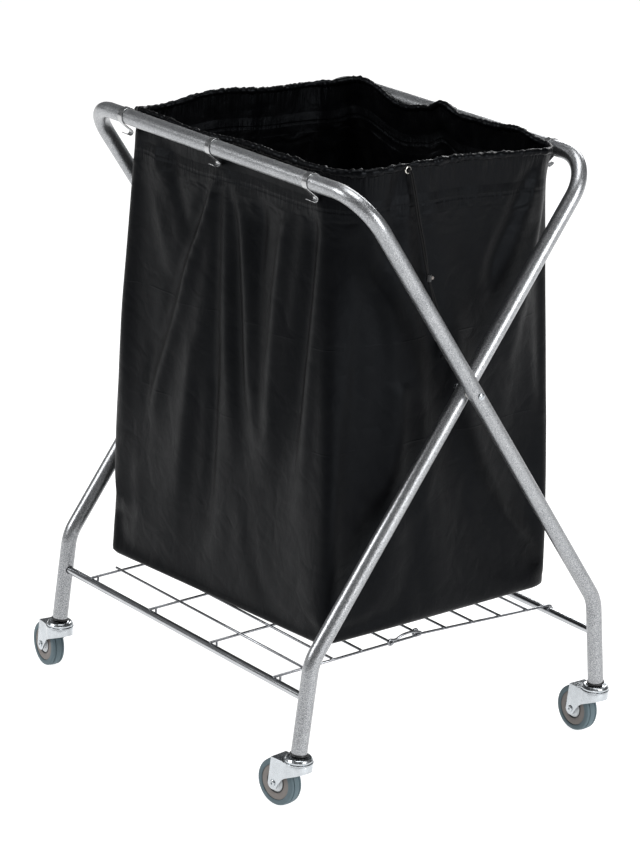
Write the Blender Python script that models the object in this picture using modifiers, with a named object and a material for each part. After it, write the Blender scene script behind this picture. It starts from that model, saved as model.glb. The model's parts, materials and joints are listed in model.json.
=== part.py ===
"""Laundry sorter on wheels: a folding X-frame trolley with a hanging bag and a wire shelf.

Two bent-tube frames cross and turn on two bolts. Each one is a rail at the top that
runs down into two legs. The outer frame carries the front rail and the rear legs, the
inner frame the rear rail and the front legs. Metres, +Z up, +Y towards the rear,
+X along the rails. The origin is on the floor, in the middle of the footprint.
"""

import bpy
import bmesh
import numpy as np
from math import asin, atan2, cos, hypot, pi, radians, sin, tan
from mathutils import Matrix, Vector

# ---------------------------------------------------------------- driving dimensions
GAP = 0.0003               # play between touching pieces

TUBE_R = 0.0125            # frame tube, outside radius
TUBE_WALL = 0.0015
FRAME_HALF_WIDTH = 0.3525  # centre of the outer frame's arms
ARM_GAP = 0.0020           # between the outer and the inner frame's tubes
RAIL_HALF_SPAN = 0.2310    # rail centre to the middle plane
ARM_LEAN = radians(35.2)   # arms from the vertical
PIVOT_HEIGHT = 0.6210
KNEE_DROP = 0.3830         # knee bend below the pivot
LEG_SPLAY = radians(6.56)
LEG_END_HEIGHT = 0.0950
CORNER_BEND_R = 0.0650
KNEE_BEND_R = 0.0700

BAR_R = 0.00625            # crossbar tube, outside radius
BAR_WALL = 0.0010
BAR_HEIGHT = 0.1800

BOLT_R = 0.0030
BOLT_HEAD_R = 0.0058
NUT_R = 0.0056
NUT_LENGTH = 0.0060
WASHER_R = 0.0095

WIRE_R = 0.0020            # shelf wire
WIRE_SINK = 0.0005         # how far welded wires sink into each other
SHELF_LONG_WIRES = 4       # on each panel, besides the hinge wire
SHELF_SIDE_GAP = 0.0665    # edge wires to the inner frame's legs
SHELF_BAR_GAP = 0.0508     # last long wire to the crossbar
SHELF_PANEL_SHIFT = 0.0060 # the rear panel's wires sit this far inboard of the front's
SHELF_OVERHANG = 0.0080    # long wires past the edge wires
SHELF_CROWN = 0.0090       # the hinge stands this far above the flat shelf
BAR_HOOK_SWEEP = radians(150)  # shelf hook round the rear crossbar
EYE_SWEEP = radians(250)   # shelf eye round the hinge wire

STRIP_WIDTH = 0.0110       # bag hooks are bent from flat strip
STRIP_THICK = 0.0013
STRIP_PLAY = 0.0004        # strip to tube
HOOK_INSETS = {"left": 0.0145, "right": 0.0325}  # outer hooks from the rear rail's bends
MIDDLE_HOOK_X = -0.0140
HOOK_START = radians(-55)
HOOK_END = radians(232)
HOOK_SHANK = 0.0200
HOOK_CURL_R = 0.0042
HOOK_CURL_SWEEP = radians(167)
HOOK_TIP = 0.0110

BAG_SIDE_GAP = 0.0250      # bag to the inner frame's arms
BAG_RAIL_GAP = 0.0065      # bag to the rails
BAG_HALF_DEPTH_BASE = 0.2200
BAG_CORNER_R = 0.0400
BAG_HEIGHT = 0.7430
RIM_ABOVE_RAIL = 0.0275    # above the rail's centre
BAG_WALL = 0.0020

EYELET_BORE_R = 0.0038
EYELET_R = 0.0060
EYELET_THICK = 0.0016
EYELET_Y = -0.1000
EYELET_BELOW_RIM = 0.0120
CORD_R = 0.0015
KNOT_R = 0.0052

WHEEL_R = 0.0375
TREAD_WIDTH = 0.0220
TYRE_INNER_R = 0.0280
BOSS_R = 0.0160
AXLE_R = 0.0035
TRAIL = 0.0380             # wheel axle behind the swivel axis
FORK_HALF_WIDTH = 0.0160
FORK_SHEET = 0.0020
FORK_TOP = 0.0795
RACE_R = 0.0225
CUP_TOP = 0.0900
CUP_DEPTH = 0.0075
STEM_R = 0.0045
STEM_TOP = 0.1180
KING_PIN_R = 0.0040
BEARING_RING_R = 0.0155
BEARING_BALL_R = 0.0014
SOCKET_BORE_R = 0.0082
SOCKET_LENGTH = 0.0300
FLANGE_R = 0.0142
FLANGE_THICK = 0.0025
CASTER_TURNS = {"front_left": radians(-6), "front_right": radians(8),
                "rear_left": radians(3), "rear_right": radians(0)}

TUBE_SIDES = 12
WIRE_SIDES = 8
TURN_STEPS = 24
SMALL_STEPS = 12
BEND_STEPS = 5
ARC_STEP = radians(25)

# ---------------------------------------------------------------- worked out from them
INNER_HALF_WIDTH = FRAME_HALF_WIDTH - 2 * TUBE_R - ARM_GAP
RAIL_HEIGHT = PIVOT_HEIGHT + RAIL_HALF_SPAN / tan(ARM_LEAN)
KNEE_HEIGHT = PIVOT_HEIGHT - KNEE_DROP
KNEE_SPREAD = KNEE_DROP * tan(ARM_LEAN)


def leg_spread(height):
    """How far a leg's centre stands from the middle plane at a height below the knee."""
    return KNEE_SPREAD + (KNEE_HEIGHT - height) * tan(LEG_SPLAY)


BAG_HALF_WIDTH = INNER_HALF_WIDTH - TUBE_R - BAG_SIDE_GAP
BAG_HALF_DEPTH_TOP = RAIL_HALF_SPAN - TUBE_R - BAG_RAIL_GAP
BAG_RIM_HEIGHT = RAIL_HEIGHT + RIM_ABOVE_RAIL
BAG_BASE_HEIGHT = BAG_RIM_HEIGHT - BAG_HEIGHT
EYELET_HEIGHT = BAG_RIM_HEIGHT - EYELET_BELOW_RIM
SHELF_HALF_WIDTH = INNER_HALF_WIDTH - TUBE_R - SHELF_SIDE_GAP
RAIL_STRAIGHT = INNER_HALF_WIDTH - CORNER_BEND_R
BAG_HOOK_PLACES = {"left": HOOK_INSETS["left"] - RAIL_STRAIGHT, "middle": MIDDLE_HOOK_X,
                   "right": RAIL_STRAIGHT - HOOK_INSETS["right"]}
FOOT_SPREAD = leg_spread(LEG_END_HEIGHT)
BAR_SPREAD = leg_spread(BAR_HEIGHT)
SHELF_PITCH = (BAR_SPREAD - SHELF_BAR_GAP) / SHELF_LONG_WIRES
# the casters trail to -X, so the footprint's middle lies off the frames' middle
MIDDLE_X = (TRAIL + WHEEL_R - RACE_R) / 2
# the tyre is a polygon that stands on one facet
AXLE_HEIGHT = WHEEL_R * cos(pi / TURN_STEPS)

WIRE_ON_BAR = BAR_R + GAP + WIRE_R
WELD_STEP = 2 * WIRE_R - WIRE_SINK      # between the centres of two welded wires
HINGE_HEIGHT = BAR_HEIGHT + WIRE_ON_BAR + SHELF_CROWN + WELD_STEP

FINISHES = {
    "hammertone": ((0.42, 0.43, 0.44), 0.35, 0.85),
    "zinc": ((0.78, 0.79, 0.80), 0.22, 1.0),
    "polished_strip": ((0.85, 0.86, 0.87), 0.12, 1.0),
    "black_plastic": ((0.012, 0.012, 0.013), 0.45, 0.0),
    "white_nylon": ((0.75, 0.75, 0.73), 0.5, 0.0),
    "black_nylon_cloth": ((0.010, 0.010, 0.011), 0.40, 0.0),
    "grey_rubber": ((0.13, 0.18, 0.20), 0.60, 0.0),
    "taupe_plastic": ((0.22, 0.20, 0.19), 0.55, 0.0),
    "light_plastic": ((0.62, 0.65, 0.68), 0.35, 0.2),
}


# ---------------------------------------------------------------- small helpers
def clear_scene():
    for obj in list(bpy.data.objects):
        bpy.data.objects.remove(obj, do_unlink=True)


def make_collection(name):
    collection = bpy.data.collections.new(name)
    bpy.context.scene.collection.children.link(collection)
    return collection


def finish(name):
    """A Principled material for one of the object's finishes, made once."""
    if name in bpy.data.materials:
        return bpy.data.materials[name]
    colour, roughness, metallic = FINISHES[name]
    material = bpy.data.materials.new(name)
    material.use_nodes = True
    shader = material.node_tree.nodes["Principled BSDF"]
    shader.inputs["Base Color"].default_value = (*colour, 1.0)
    shader.inputs["Roughness"].default_value = roughness
    shader.inputs["Metallic"].default_value = metallic
    material.diffuse_color = (*colour, 1.0)
    return material


def add_part(name, mesh, material, parent=None, matrix=None):
    """Puts a mesh in the parts collection under its own name."""
    mesh.name = name
    obj = bpy.data.objects.new(name, mesh)
    parts.objects.link(obj)
    mesh.materials.clear()
    mesh.materials.append(finish(material))
    mesh.shade_smooth()
    mesh.set_sharp_from_angle(angle=radians(35))
    obj.parent = parent
    if matrix is not None:
        obj.matrix_local = matrix
    return obj


def add_cutter(name, mesh, matrix):
    mesh.name = name
    obj = bpy.data.objects.new(name, mesh)
    cutters.objects.link(obj)
    obj.matrix_world = matrix
    obj.hide_render = True
    obj.display_type = 'WIRE'
    return obj


def cut(obj, cutter):
    modifier = obj.modifiers.new("cut_" + cutter.name, 'BOOLEAN')
    modifier.operation = 'DIFFERENCE'
    modifier.solver = 'EXACT'
    modifier.object = cutter


def add_pivot(name, place, parent=None, turn=None):
    """An empty on a joint's axis."""
    empty = bpy.data.objects.new(name, None)
    empty.empty_display_size = 0.02
    parts.objects.link(empty)
    empty.parent = parent
    empty.matrix_local = Matrix.Translation(place) @ (turn or Matrix())
    return empty


def turn_about(axis, angle):
    return Matrix.Rotation(angle, 4, axis)


def solidify(obj, thickness, offset):
    modifier = obj.modifiers.new("wall", 'SOLIDIFY')
    modifier.thickness = thickness
    modifier.offset = offset
    modifier.use_even_offset = True


def cylinder_mesh(radius, length, sides=TUBE_SIDES, caps=True):
    """A cylinder along Z, centred on the origin."""
    bm = bmesh.new()
    bmesh.ops.create_cone(bm, cap_ends=caps, cap_tris=False, segments=sides,
                          radius1=radius, radius2=radius, depth=length)
    mesh = bpy.data.meshes.new("cylinder")
    bm.to_mesh(mesh)
    bm.free()
    return mesh


def rounded_path(corners, radii, steps=BEND_STEPS):
    """Points along a bent rod: straight runs, and an arc of the given radius at each inner corner."""
    points = [Vector(corners[0])]
    for before, corner, after, radius in zip(corners, corners[1:], corners[2:], radii):
        corner = Vector(corner)
        back = (Vector(before) - corner).normalized()
        ahead = (Vector(after) - corner).normalized()
        half = back.angle(ahead) / 2
        reach = radius / tan(half)
        centre = corner + (back + ahead).normalized() * (radius / sin(half))
        start = corner + back * reach - centre
        sweep = pi - 2 * half
        axis = start.cross(corner + ahead * reach - centre).normalized()
        for i in range(steps + 1):
            points.append(centre + Matrix.Rotation(sweep * i / steps, 3, axis) @ start)
    points.append(Vector(corners[-1]))
    return points


def swept_mesh(points, radius, sides, caps=True):
    """A round rod or tube skin along a chain of points, as a mesh."""
    curve = bpy.data.curves.new("sweep", 'CURVE')
    curve.dimensions = '3D'
    curve.bevel_depth = radius
    curve.bevel_resolution = (sides - 4) // 2
    curve.use_fill_caps = caps
    spline = curve.splines.new('POLY')
    spline.points.add(len(points) - 1)
    for point, place in zip(spline.points, points):
        point.co = (*place, 1.0)
    obj = bpy.data.objects.new("sweep", curve)
    bpy.context.scene.collection.objects.link(obj)
    depsgraph = bpy.context.evaluated_depsgraph_get()
    mesh = bpy.data.meshes.new_from_object(obj.evaluated_get(depsgraph))
    bpy.data.objects.remove(obj, do_unlink=True)
    bpy.data.curves.remove(curve)
    bm = bmesh.new()
    bm.from_mesh(mesh)
    bmesh.ops.remove_doubles(bm, verts=bm.verts, dist=1e-6)
    bmesh.ops.recalc_face_normals(bm, faces=bm.faces)
    bm.to_mesh(mesh)
    bm.free()
    return mesh


def turned(name, profile, material, parent=None, matrix=None, steps=TURN_STEPS):
    """Spins a profile of (radius, height) points about Z. The profile runs top to bottom on its outside."""
    bm = bmesh.new()
    verts = [bm.verts.new((r, 0.0, z)) for r, z in profile]
    closed = profile[0][0] > 0
    for a, b in zip(verts, verts[1:] + (verts[:1] if closed else [])):
        bm.edges.new((a, b))
    mesh = bpy.data.meshes.new(name)
    bm.to_mesh(mesh)
    bm.free()
    obj = add_part(name, mesh, material, parent, matrix)
    screw = obj.modifiers.new("turn", 'SCREW')
    screw.steps = steps
    screw.render_steps = steps
    screw.use_merge_vertices = True
    screw.merge_threshold = 0.00001
    screw.use_smooth_shade = True
    return obj


def dome_profile(radius, foot, rise, points=5):
    """The outside of a low dome, from its crown on the axis to its rim."""
    rim = [(radius * sin(a), foot + rise * cos(a)) for a in np.linspace(0, pi / 2, points)[1:]]
    return [(0, foot + rise)] + rim


def combine(obj, tool, operation):
    """Unites an object with a tool, or keeps what the two share."""
    modifier = obj.modifiers.new(operation.lower(), 'BOOLEAN')
    modifier.operation = operation
    modifier.solver = 'EXACT'
    modifier.object = tool


def joined_mesh(meshes):
    """Several meshes as one, still separate pieces."""
    bm = bmesh.new()
    for mesh in meshes:
        bm.from_mesh(mesh)
        bpy.data.meshes.remove(mesh)
    mesh = bpy.data.meshes.new("joined")
    bm.to_mesh(mesh)
    bm.free()
    return mesh


def prism_mesh(outline, low, high, axis='Z'):
    """An outline in the XY plane, or in the XZ plane for axis Y, pushed out from low to high."""
    bm = bmesh.new()
    if axis == 'Z':
        verts = [bm.verts.new((a, b, low)) for a, b in outline]
        push = (0, 0, high - low)
    else:
        verts = [bm.verts.new((a, low, b)) for a, b in outline]
        push = (0, high - low, 0)
    face = bm.faces.new(verts)
    made = bmesh.ops.extrude_face_region(bm, geom=[face])
    moved = [v for v in made["geom"] if isinstance(v, bmesh.types.BMVert)]
    bmesh.ops.translate(bm, verts=moved, vec=push)
    bmesh.ops.recalc_face_normals(bm, faces=bm.faces)
    mesh = bpy.data.meshes.new("prism")
    bm.to_mesh(mesh)
    bm.free()
    return mesh


def arc(centre, radius, start, sweep, step=None):
    """Points in a plane along an arc, at most ARC_STEP apart unless told otherwise."""
    count = max(2, int(np.ceil(abs(sweep) / (step or ARC_STEP))))
    return [(centre[0] + radius * cos(start + sweep * i / count),
             centre[1] + radius * sin(start + sweep * i / count)) for i in range(count + 1)]


# ---------------------------------------------------------------- the two tube frames
def frame_tube(name, half_width, rail_side, pivot):
    """One continuous tube: leg, arm, rail, arm, leg. rail_side is -1 at the front, 1 at the rear."""
    legs = -rail_side
    side_run = [(legs * FOOT_SPREAD, LEG_END_HEIGHT), (legs * KNEE_SPREAD, KNEE_HEIGHT),
                (rail_side * RAIL_HALF_SPAN, RAIL_HEIGHT)]
    left = [(-half_width, y, z - PIVOT_HEIGHT) for y, z in side_run]
    right = [(half_width, y, z - PIVOT_HEIGHT) for y, z in reversed(side_run)]
    radii = [KNEE_BEND_R, CORNER_BEND_R, CORNER_BEND_R, KNEE_BEND_R]
    path = rounded_path(left + right, radii)
    tube = add_part(name, swept_mesh(path, TUBE_R, TUBE_SIDES, caps=False), "hammertone", pivot)
    solidify(tube, TUBE_WALL, -1)
    along_x = turn_about('Y', pi / 2)
    for side, sign in (("left", -1), ("right", 1)):
        place = Matrix.Translation((MIDDLE_X + sign * half_width, 0, PIVOT_HEIGHT))
        hole = cylinder_mesh(BOLT_R + GAP, 4 * TUBE_R, WIRE_SIDES + 4)
        cut(tube, add_cutter(f"{name}_bolt_hole_{side}", hole, place @ along_x))
        place = Matrix.Translation((MIDDLE_X + sign * (half_width - TUBE_R), legs * BAR_SPREAD, BAR_HEIGHT))
        hole = cylinder_mesh(BAR_R + GAP, 2 * TUBE_R - 4 * TUBE_WALL, TUBE_SIDES)
        cut(tube, add_cutter(f"{name}_bar_hole_{side}", hole, place @ along_x))
    return tube


def crossbar(name, half_width, side, pivot):
    """A thin tube between two legs. Its ends pass through the legs' inner walls."""
    reach = half_width - TUBE_WALL
    mesh = cylinder_mesh(BAR_R, 2 * reach, TUBE_SIDES, caps=False)
    place = Matrix.Translation((0, side * BAR_SPREAD, BAR_HEIGHT - PIVOT_HEIGHT))
    bar = add_part(name, mesh, "zinc", pivot, place @ turn_about('Y', pi / 2))
    solidify(bar, BAR_WALL, -1)
    return bar


def pivot_hardware(side, sign, pivot):
    """The bolt that the two frames turn on, the washer between them and the nut inside."""
    out = turn_about('Y', sign * pi / 2)
    head = FRAME_HALF_WIDTH + TUBE_R + GAP
    nut = INNER_HALF_WIDTH - TUBE_R - GAP
    tail = nut - NUT_LENGTH + 0.0010
    dome = dome_profile(BOLT_HEAD_R, head + 0.0012, 0.0022)
    profile = dome + [(BOLT_HEAD_R, head), (BOLT_R, head), (BOLT_R, tail), (0, tail)]
    turned(f"pivot_bolt_{side}", profile, "zinc", pivot, out, 12)
    high = FRAME_HALF_WIDTH - TUBE_R - GAP
    low = INNER_HALF_WIDTH + TUBE_R + GAP
    bore = BOLT_R + GAP
    ring = [(bore, high), (WASHER_R, high), (WASHER_R, low), (bore, low)]
    turned(f"pivot_washer_{side}", ring, "white_nylon", pivot, out, 12)
    cap = nut - NUT_LENGTH - 0.0012
    blind = tail - 2 * GAP
    body = [(0, blind), (bore, blind), (bore, nut), (NUT_R, nut), (NUT_R, nut - NUT_LENGTH),
            (0.6 * NUT_R, cap), (0, cap)]
    turned(f"pivot_nut_{side}", body, "zinc", pivot, out, 12)


# ---------------------------------------------------------------- folding wire shelf
def panel_line():
    """Length and slope of a panel from the hinge wire's centre to its crossbar's centre."""
    drop = HINGE_HEIGHT - BAR_HEIGHT
    return hypot(BAR_SPREAD, drop), atan2(drop, BAR_SPREAD)


def panel_place(side):
    """A panel's own axes: origin on the hinge wire, +Y towards its crossbar, +Z up."""
    place = Matrix.Translation((MIDDLE_X, 0, HINGE_HEIGHT))
    slope = turn_about('X', -panel_line()[1])
    return place @ slope if side > 0 else place @ turn_about('Z', pi) @ slope


def short_wire_line(drop):
    """Height at the hinge and tilt of a short wire that passes under the hinge wire and over the crossbar."""
    tilt = asin((WIRE_ON_BAR + drop) / panel_line()[0])
    return -drop / cos(tilt), tilt


def wire_panel(name, profile, drop, inboard, hinge_wires, pivot, side):
    """Four short wires of one profile, with the long wires welded on top of them."""
    foot, tilt = short_wire_line(drop)
    right = [SHELF_HALF_WIDTH / 3 - inboard, SHELF_HALF_WIDTH - inboard]
    places = [-x for x in right] + right
    short = [swept_mesh([(x, y, z) for y, z in profile], WIRE_R, WIRE_SIDES) for x in places]
    rises = [(i * SHELF_PITCH, foot + i * SHELF_PITCH * tan(tilt) + WELD_STEP / cos(tilt))
             for i in range(1, SHELF_LONG_WIRES + 1)]
    end = SHELF_HALF_WIDTH + SHELF_OVERHANG
    long_wires = [swept_mesh([(-end, y, z), (end, y, z)], WIRE_R, WIRE_SIDES)
                  for y, z in hinge_wires + rises]
    place = panel_place(side)
    panel = add_part(name, joined_mesh(short), "zinc", pivot, pivot.matrix_world.inverted() @ place)
    combine(panel, add_cutter(name + "_long_wires", joined_mesh(long_wires), place), 'UNION')


def front_panel(pivot):
    """Its short wires end on top of the front crossbar. It carries the wire that the shelf folds on."""
    foot, tilt = short_wire_line(WELD_STEP)
    profile = [(y, foot + y * tan(tilt)) for y in (-WIRE_R, panel_line()[0] + WIRE_R)]
    wire_panel("front_shelf_panel", profile, WELD_STEP, 0, [(0, 0)], pivot, -1)


def rear_panel(pivot):
    """Its short wires hook over the rear crossbar and end in eyes round the hinge wire."""
    eye_r = 2 * WIRE_R + 2 * GAP
    tilt = short_wire_line(eye_r)[1]
    hook = arc((panel_line()[0], 0), WIRE_ON_BAR, pi / 2 + tilt, -BAR_HOOK_SWEEP)
    eye = arc((0, 0), eye_r, tilt - pi / 2, -EYE_SWEEP, radians(36))
    wire_panel("rear_shelf_panel", hook[::-1] + eye, eye_r, SHELF_PANEL_SHIFT, [], pivot, 1)


# ---------------------------------------------------------------- bag and its hooks
def bag_hook_profile():
    """A strip's centre line across the rail: round the tube, under it, and into a small curl.

    The first number runs inwards from the tube's centre, the second upwards."""
    r = TUBE_R + STRIP_PLAY + STRIP_THICK / 2
    points = arc((0, 0), r, HOOK_START, HOOK_END - HOOK_START)
    heading = HOOK_END + pi / 2
    u, w = points[-1]
    u += HOOK_SHANK * cos(heading)
    w += HOOK_SHANK * sin(heading)
    centre = (u + HOOK_CURL_R * sin(heading), w - HOOK_CURL_R * cos(heading))
    points += arc(centre, HOOK_CURL_R, heading + pi / 2, -HOOK_CURL_SWEEP, radians(24))
    heading -= HOOK_CURL_SWEEP
    u, w = points[-1]
    points.append((u + HOOK_TIP * cos(heading), w + HOOK_TIP * sin(heading)))
    return points


def bag_hook(name, x, rail_side):
    """A flat strip bent into a hook that hangs on a rail. Its pivot is on the rail's axis."""
    pivot = add_pivot(name + "_pivot", (MIDDLE_X + x, rail_side * RAIL_HALF_SPAN, RAIL_HEIGHT))
    bm = bmesh.new()
    rows = []
    for u, w in bag_hook_profile():
        ends = (-STRIP_WIDTH / 2, STRIP_WIDTH / 2)
        rows.append([bm.verts.new((end, -rail_side * u, w)) for end in ends])
    for a, b in zip(rows, rows[1:]):
        bm.faces.new((a[0], a[1], b[1], b[0]))
    mesh = bpy.data.meshes.new(name)
    bm.to_mesh(mesh)
    bm.free()
    hook = add_part(name, mesh, "polished_strip", pivot)
    solidify(hook, STRIP_THICK, 0)
    return hook


def rounded_rectangle(half_x, half_y, radius, per_corner=5):
    points = []
    for i, (sx, sy) in enumerate(((1, 1), (-1, 1), (-1, -1), (1, -1))):
        centre = (sx * (half_x - radius), sy * (half_y - radius))
        points += arc(centre, radius, i * pi / 2, pi / 2, pi / 2 / per_corner)
    return points


def laundry_bag(pivot):
    """An open-topped box of cloth, a little deeper at the base than at the rim."""
    bm = bmesh.new()
    rings = []
    for share in (0.0, 0.04, 0.5, 1.0):
        height = BAG_BASE_HEIGHT + share * (BAG_RIM_HEIGHT - BAG_BASE_HEIGHT)
        depth = BAG_HALF_DEPTH_BASE + share * (BAG_HALF_DEPTH_TOP - BAG_HALF_DEPTH_BASE)
        tuck = 0.008 if share == 0.0 else 0.0
        ring = rounded_rectangle(BAG_HALF_WIDTH - tuck, depth - tuck, BAG_CORNER_R - tuck)
        rings.append([bm.verts.new((x, y, height - PIVOT_HEIGHT)) for x, y in ring])
    for low, high in zip(rings, rings[1:]):
        for i, vert in enumerate(low):
            j = (i + 1) % len(low)
            bm.faces.new((vert, low[j], high[j], high[i]))
    bm.faces.new(rings[0][::-1])
    mesh = bpy.data.meshes.new("laundry_bag")
    bm.to_mesh(mesh)
    bm.free()
    bag = add_part("laundry_bag", mesh, "black_nylon_cloth", pivot)
    solidify(bag, BAG_WALL, -1)
    along_x = turn_about('Y', pi / 2)
    place = Matrix.Translation((MIDDLE_X + BAG_HALF_WIDTH, EYELET_Y, EYELET_HEIGHT))
    hole = cylinder_mesh(EYELET_BORE_R, 6 * BAG_WALL, SMALL_STEPS)
    cut(bag, add_cutter("eyelet_hole", hole, place @ along_x))
    return bag


def drawcord_eyelet(pivot):
    """A metal ring on the outside of the hem, where the drawcord comes out."""
    low = BAG_HALF_WIDTH + GAP
    high = low + EYELET_THICK
    ring = [(EYELET_BORE_R, high), (EYELET_R - 0.0008, high), (EYELET_R, high - 0.0008),
            (EYELET_R, low), (EYELET_BORE_R, low)]
    place = Matrix.Translation((0, EYELET_Y, EYELET_HEIGHT - PIVOT_HEIGHT)) @ turn_about('Y', pi / 2)
    return turned("drawcord_eyelet", ring, "polished_strip", pivot, place, SMALL_STEPS)


CORD_ROUTE = [(0.2865, -0.1018, 0.9640), (0.2905, -0.1018, 0.9637), (0.2945, -0.1014, 0.9617),
              (0.2968, -0.1008, 0.9575), (0.2974, -0.0990, 0.9490), (0.2970, -0.0925, 0.9240),
              (0.2966, -0.0815, 0.8820), (0.2966, -0.0700, 0.8400), (0.2968, -0.0580, 0.7960),
              (0.2970, -0.0450, 0.7570), (0.2970, -0.0310, 0.7260), (0.2968, -0.0240, 0.7010),
              (0.2966, -0.0228, 0.6743)]
CORD_SPACING = 0.0036                 # between the two strands
KNOT_PLACE = (0.2966, -0.0210, 0.6680)
CORD_POINTS = 42


def smooth_route(route, count):
    """Points at even steps of a smooth curve through a route's own points."""
    p = [np.array(q) for q in route]
    p = [2 * p[0] - p[1]] + p + [2 * p[-1] - p[-2]]
    fine = []
    for a, b, c, d in zip(p, p[1:], p[2:], p[3:]):
        for t in np.linspace(0, 1, 12, endpoint=False):
            fine.append(0.5 * (2 * b + (c - a) * t + (2 * a - 5 * b + 4 * c - d) * t ** 2
                               + (3 * b - a - 3 * c + d) * t ** 3))
    fine = np.array(fine + [p[-2]])
    along = np.concatenate([[0], np.cumsum(np.linalg.norm(np.diff(fine, axis=0), axis=1))])
    at = np.linspace(0, along[-1], count)
    return [tuple(np.interp(s, along, fine[:, k]) for k in range(3)) for s in at]


def drawcord(pivot):
    """Two strands hang from the eyelet down the bag's side and meet in a knot."""
    for name, shift in (("drawcord_strand_front", 0.0), ("drawcord_strand_rear", CORD_SPACING)):
        route = [(x, y + shift, z - PIVOT_HEIGHT) for x, y, z in CORD_ROUTE]
        mesh = swept_mesh(smooth_route(route, CORD_POINTS), CORD_R, WIRE_SIDES)
        add_part(name, mesh, "black_nylon_cloth", pivot)
    bm = bmesh.new()
    bmesh.ops.create_uvsphere(bm, u_segments=12, v_segments=8, radius=KNOT_R)
    mesh = bpy.data.meshes.new("drawcord_knot")
    bm.to_mesh(mesh)
    bm.free()
    place = Matrix.Translation(KNOT_PLACE) @ Matrix.Translation((0, 0, -PIVOT_HEIGHT))
    add_part("drawcord_knot", mesh, "black_nylon_cloth", pivot, place)


# ---------------------------------------------------------------- casters
def stem_socket(name, x, side):
    """A black plastic insert in a leg's open end, with a flange under the tube."""
    place = Matrix.Translation((MIDDLE_X + x, side * FOOT_SPREAD, LEG_END_HEIGHT))
    plug = TUBE_R - TUBE_WALL - 2 * GAP
    low = -GAP - FLANGE_THICK
    ring = [(SOCKET_BORE_R, SOCKET_LENGTH), (plug, SOCKET_LENGTH), (plug, -GAP), (FLANGE_R, -GAP),
            (FLANGE_R, low), (SOCKET_BORE_R, low)]
    turned(name, ring, "black_plastic", None, place @ turn_about('X', side * LEG_SPLAY), SMALL_STEPS)


def caster_stem(name, pivot):
    """Stem, upper race cup and king pin, turned as one piece. It stays with the leg."""
    rim = RACE_R - 0.0010
    foot = CUP_TOP - CUP_DEPTH
    under = CUP_TOP - 0.0030
    rivet = FORK_TOP - FORK_SHEET - GAP
    profile = [(0, STEM_TOP), (STEM_R - 0.0008, STEM_TOP), (STEM_R, STEM_TOP - 0.0012),
               (STEM_R, CUP_TOP), (0.0130, CUP_TOP), (0.0190, CUP_TOP - 0.0015),
               (rim, CUP_TOP - 0.0042), (rim, foot), (rim - 0.0018, foot),
               (rim - 0.0024, under - 0.0015), (0.0130, under), (KING_PIN_R, under),
               (KING_PIN_R, rivet), (KING_PIN_R + 0.0022, rivet), (KING_PIN_R + 0.0016, rivet - 0.0015),
               (0, rivet - 0.0015)]
    turned(name, profile, "zinc", pivot, None, SMALL_STEPS)


def race_dish(name, pivot):
    """The lower race, a shallow dish on the fork that the balls run in."""
    bore = KING_PIN_R + GAP
    top = CUP_TOP - CUP_DEPTH - GAP
    low = FORK_TOP + GAP
    ring = [(bore, top), (RACE_R - 0.0008, top), (RACE_R, top - 0.0008), (RACE_R, low), (bore, low)]
    turned(name, ring, "zinc", pivot, None, SMALL_STEPS)


def bearing_ring(name, pivot):
    """The ring of balls between cup and dish, as one ring of their outer shape."""
    height = CUP_TOP - CUP_DEPTH + BEARING_BALL_R
    ring = arc((BEARING_RING_R, height), BEARING_BALL_R, pi / 2, -2 * pi, pi / 3)[:-1]
    turned(name, ring, "zinc", pivot, None, SMALL_STEPS)


def fork_outline(inset):
    """The fork from above: a round nose under the race, and straight sides back past the wheel."""
    nose = RACE_R - 0.0010 - inset
    half = FORK_HALF_WIDTH - inset
    turn = pi / 2 + 0.45
    arc_points = arc((0, 0), nose, -turn, 2 * turn)
    tail = -TRAIL - 0.0300
    return arc_points + [(-0.0210, half), (tail, half), (tail, -half), (-0.0210, -half)]


def caster_fork(name, pivot):
    """A pressed steel fork: a flat top under the race and two cheeks that narrow to the axle."""
    boss = 0.0080
    cheek = arc((-TRAIL, AXLE_HEIGHT), boss, pi + 0.15, pi - 0.55)
    back = [(-TRAIL - 0.0035, FORK_TOP)]
    front = [(-0.0225, 0.0545), (-0.0100, 0.0650), (0.0060, 0.0705), (0.0240, 0.0722), (0.0240, FORK_TOP)]
    side = prism_mesh(back + cheek + front, -0.0300, 0.0300, 'Y')
    fork = add_part(name, side, "zinc", pivot)
    place = pivot.matrix_world
    shell = prism_mesh(fork_outline(0.0), 0.0200, FORK_TOP + 0.0010)
    combine(fork, add_cutter(name + "_shell", shell, place), 'INTERSECT')
    hollow = prism_mesh(fork_outline(FORK_SHEET), 0.0100, FORK_TOP - FORK_SHEET)
    cut(fork, add_cutter(name + "_hollow", hollow, place))
    hole = cylinder_mesh(KING_PIN_R + GAP, 0.0200, SMALL_STEPS)
    cut(fork, add_cutter(name + "_pin_hole", hole, place @ Matrix.Translation((0, 0, FORK_TOP))))
    axle = Matrix.Translation((-TRAIL, 0, AXLE_HEIGHT)) @ turn_about('X', -pi / 2)
    hole = cylinder_mesh(AXLE_R + GAP, 0.0600, SMALL_STEPS)
    cut(fork, add_cutter(name + "_axle_hole", hole, place @ axle))
    return fork


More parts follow.
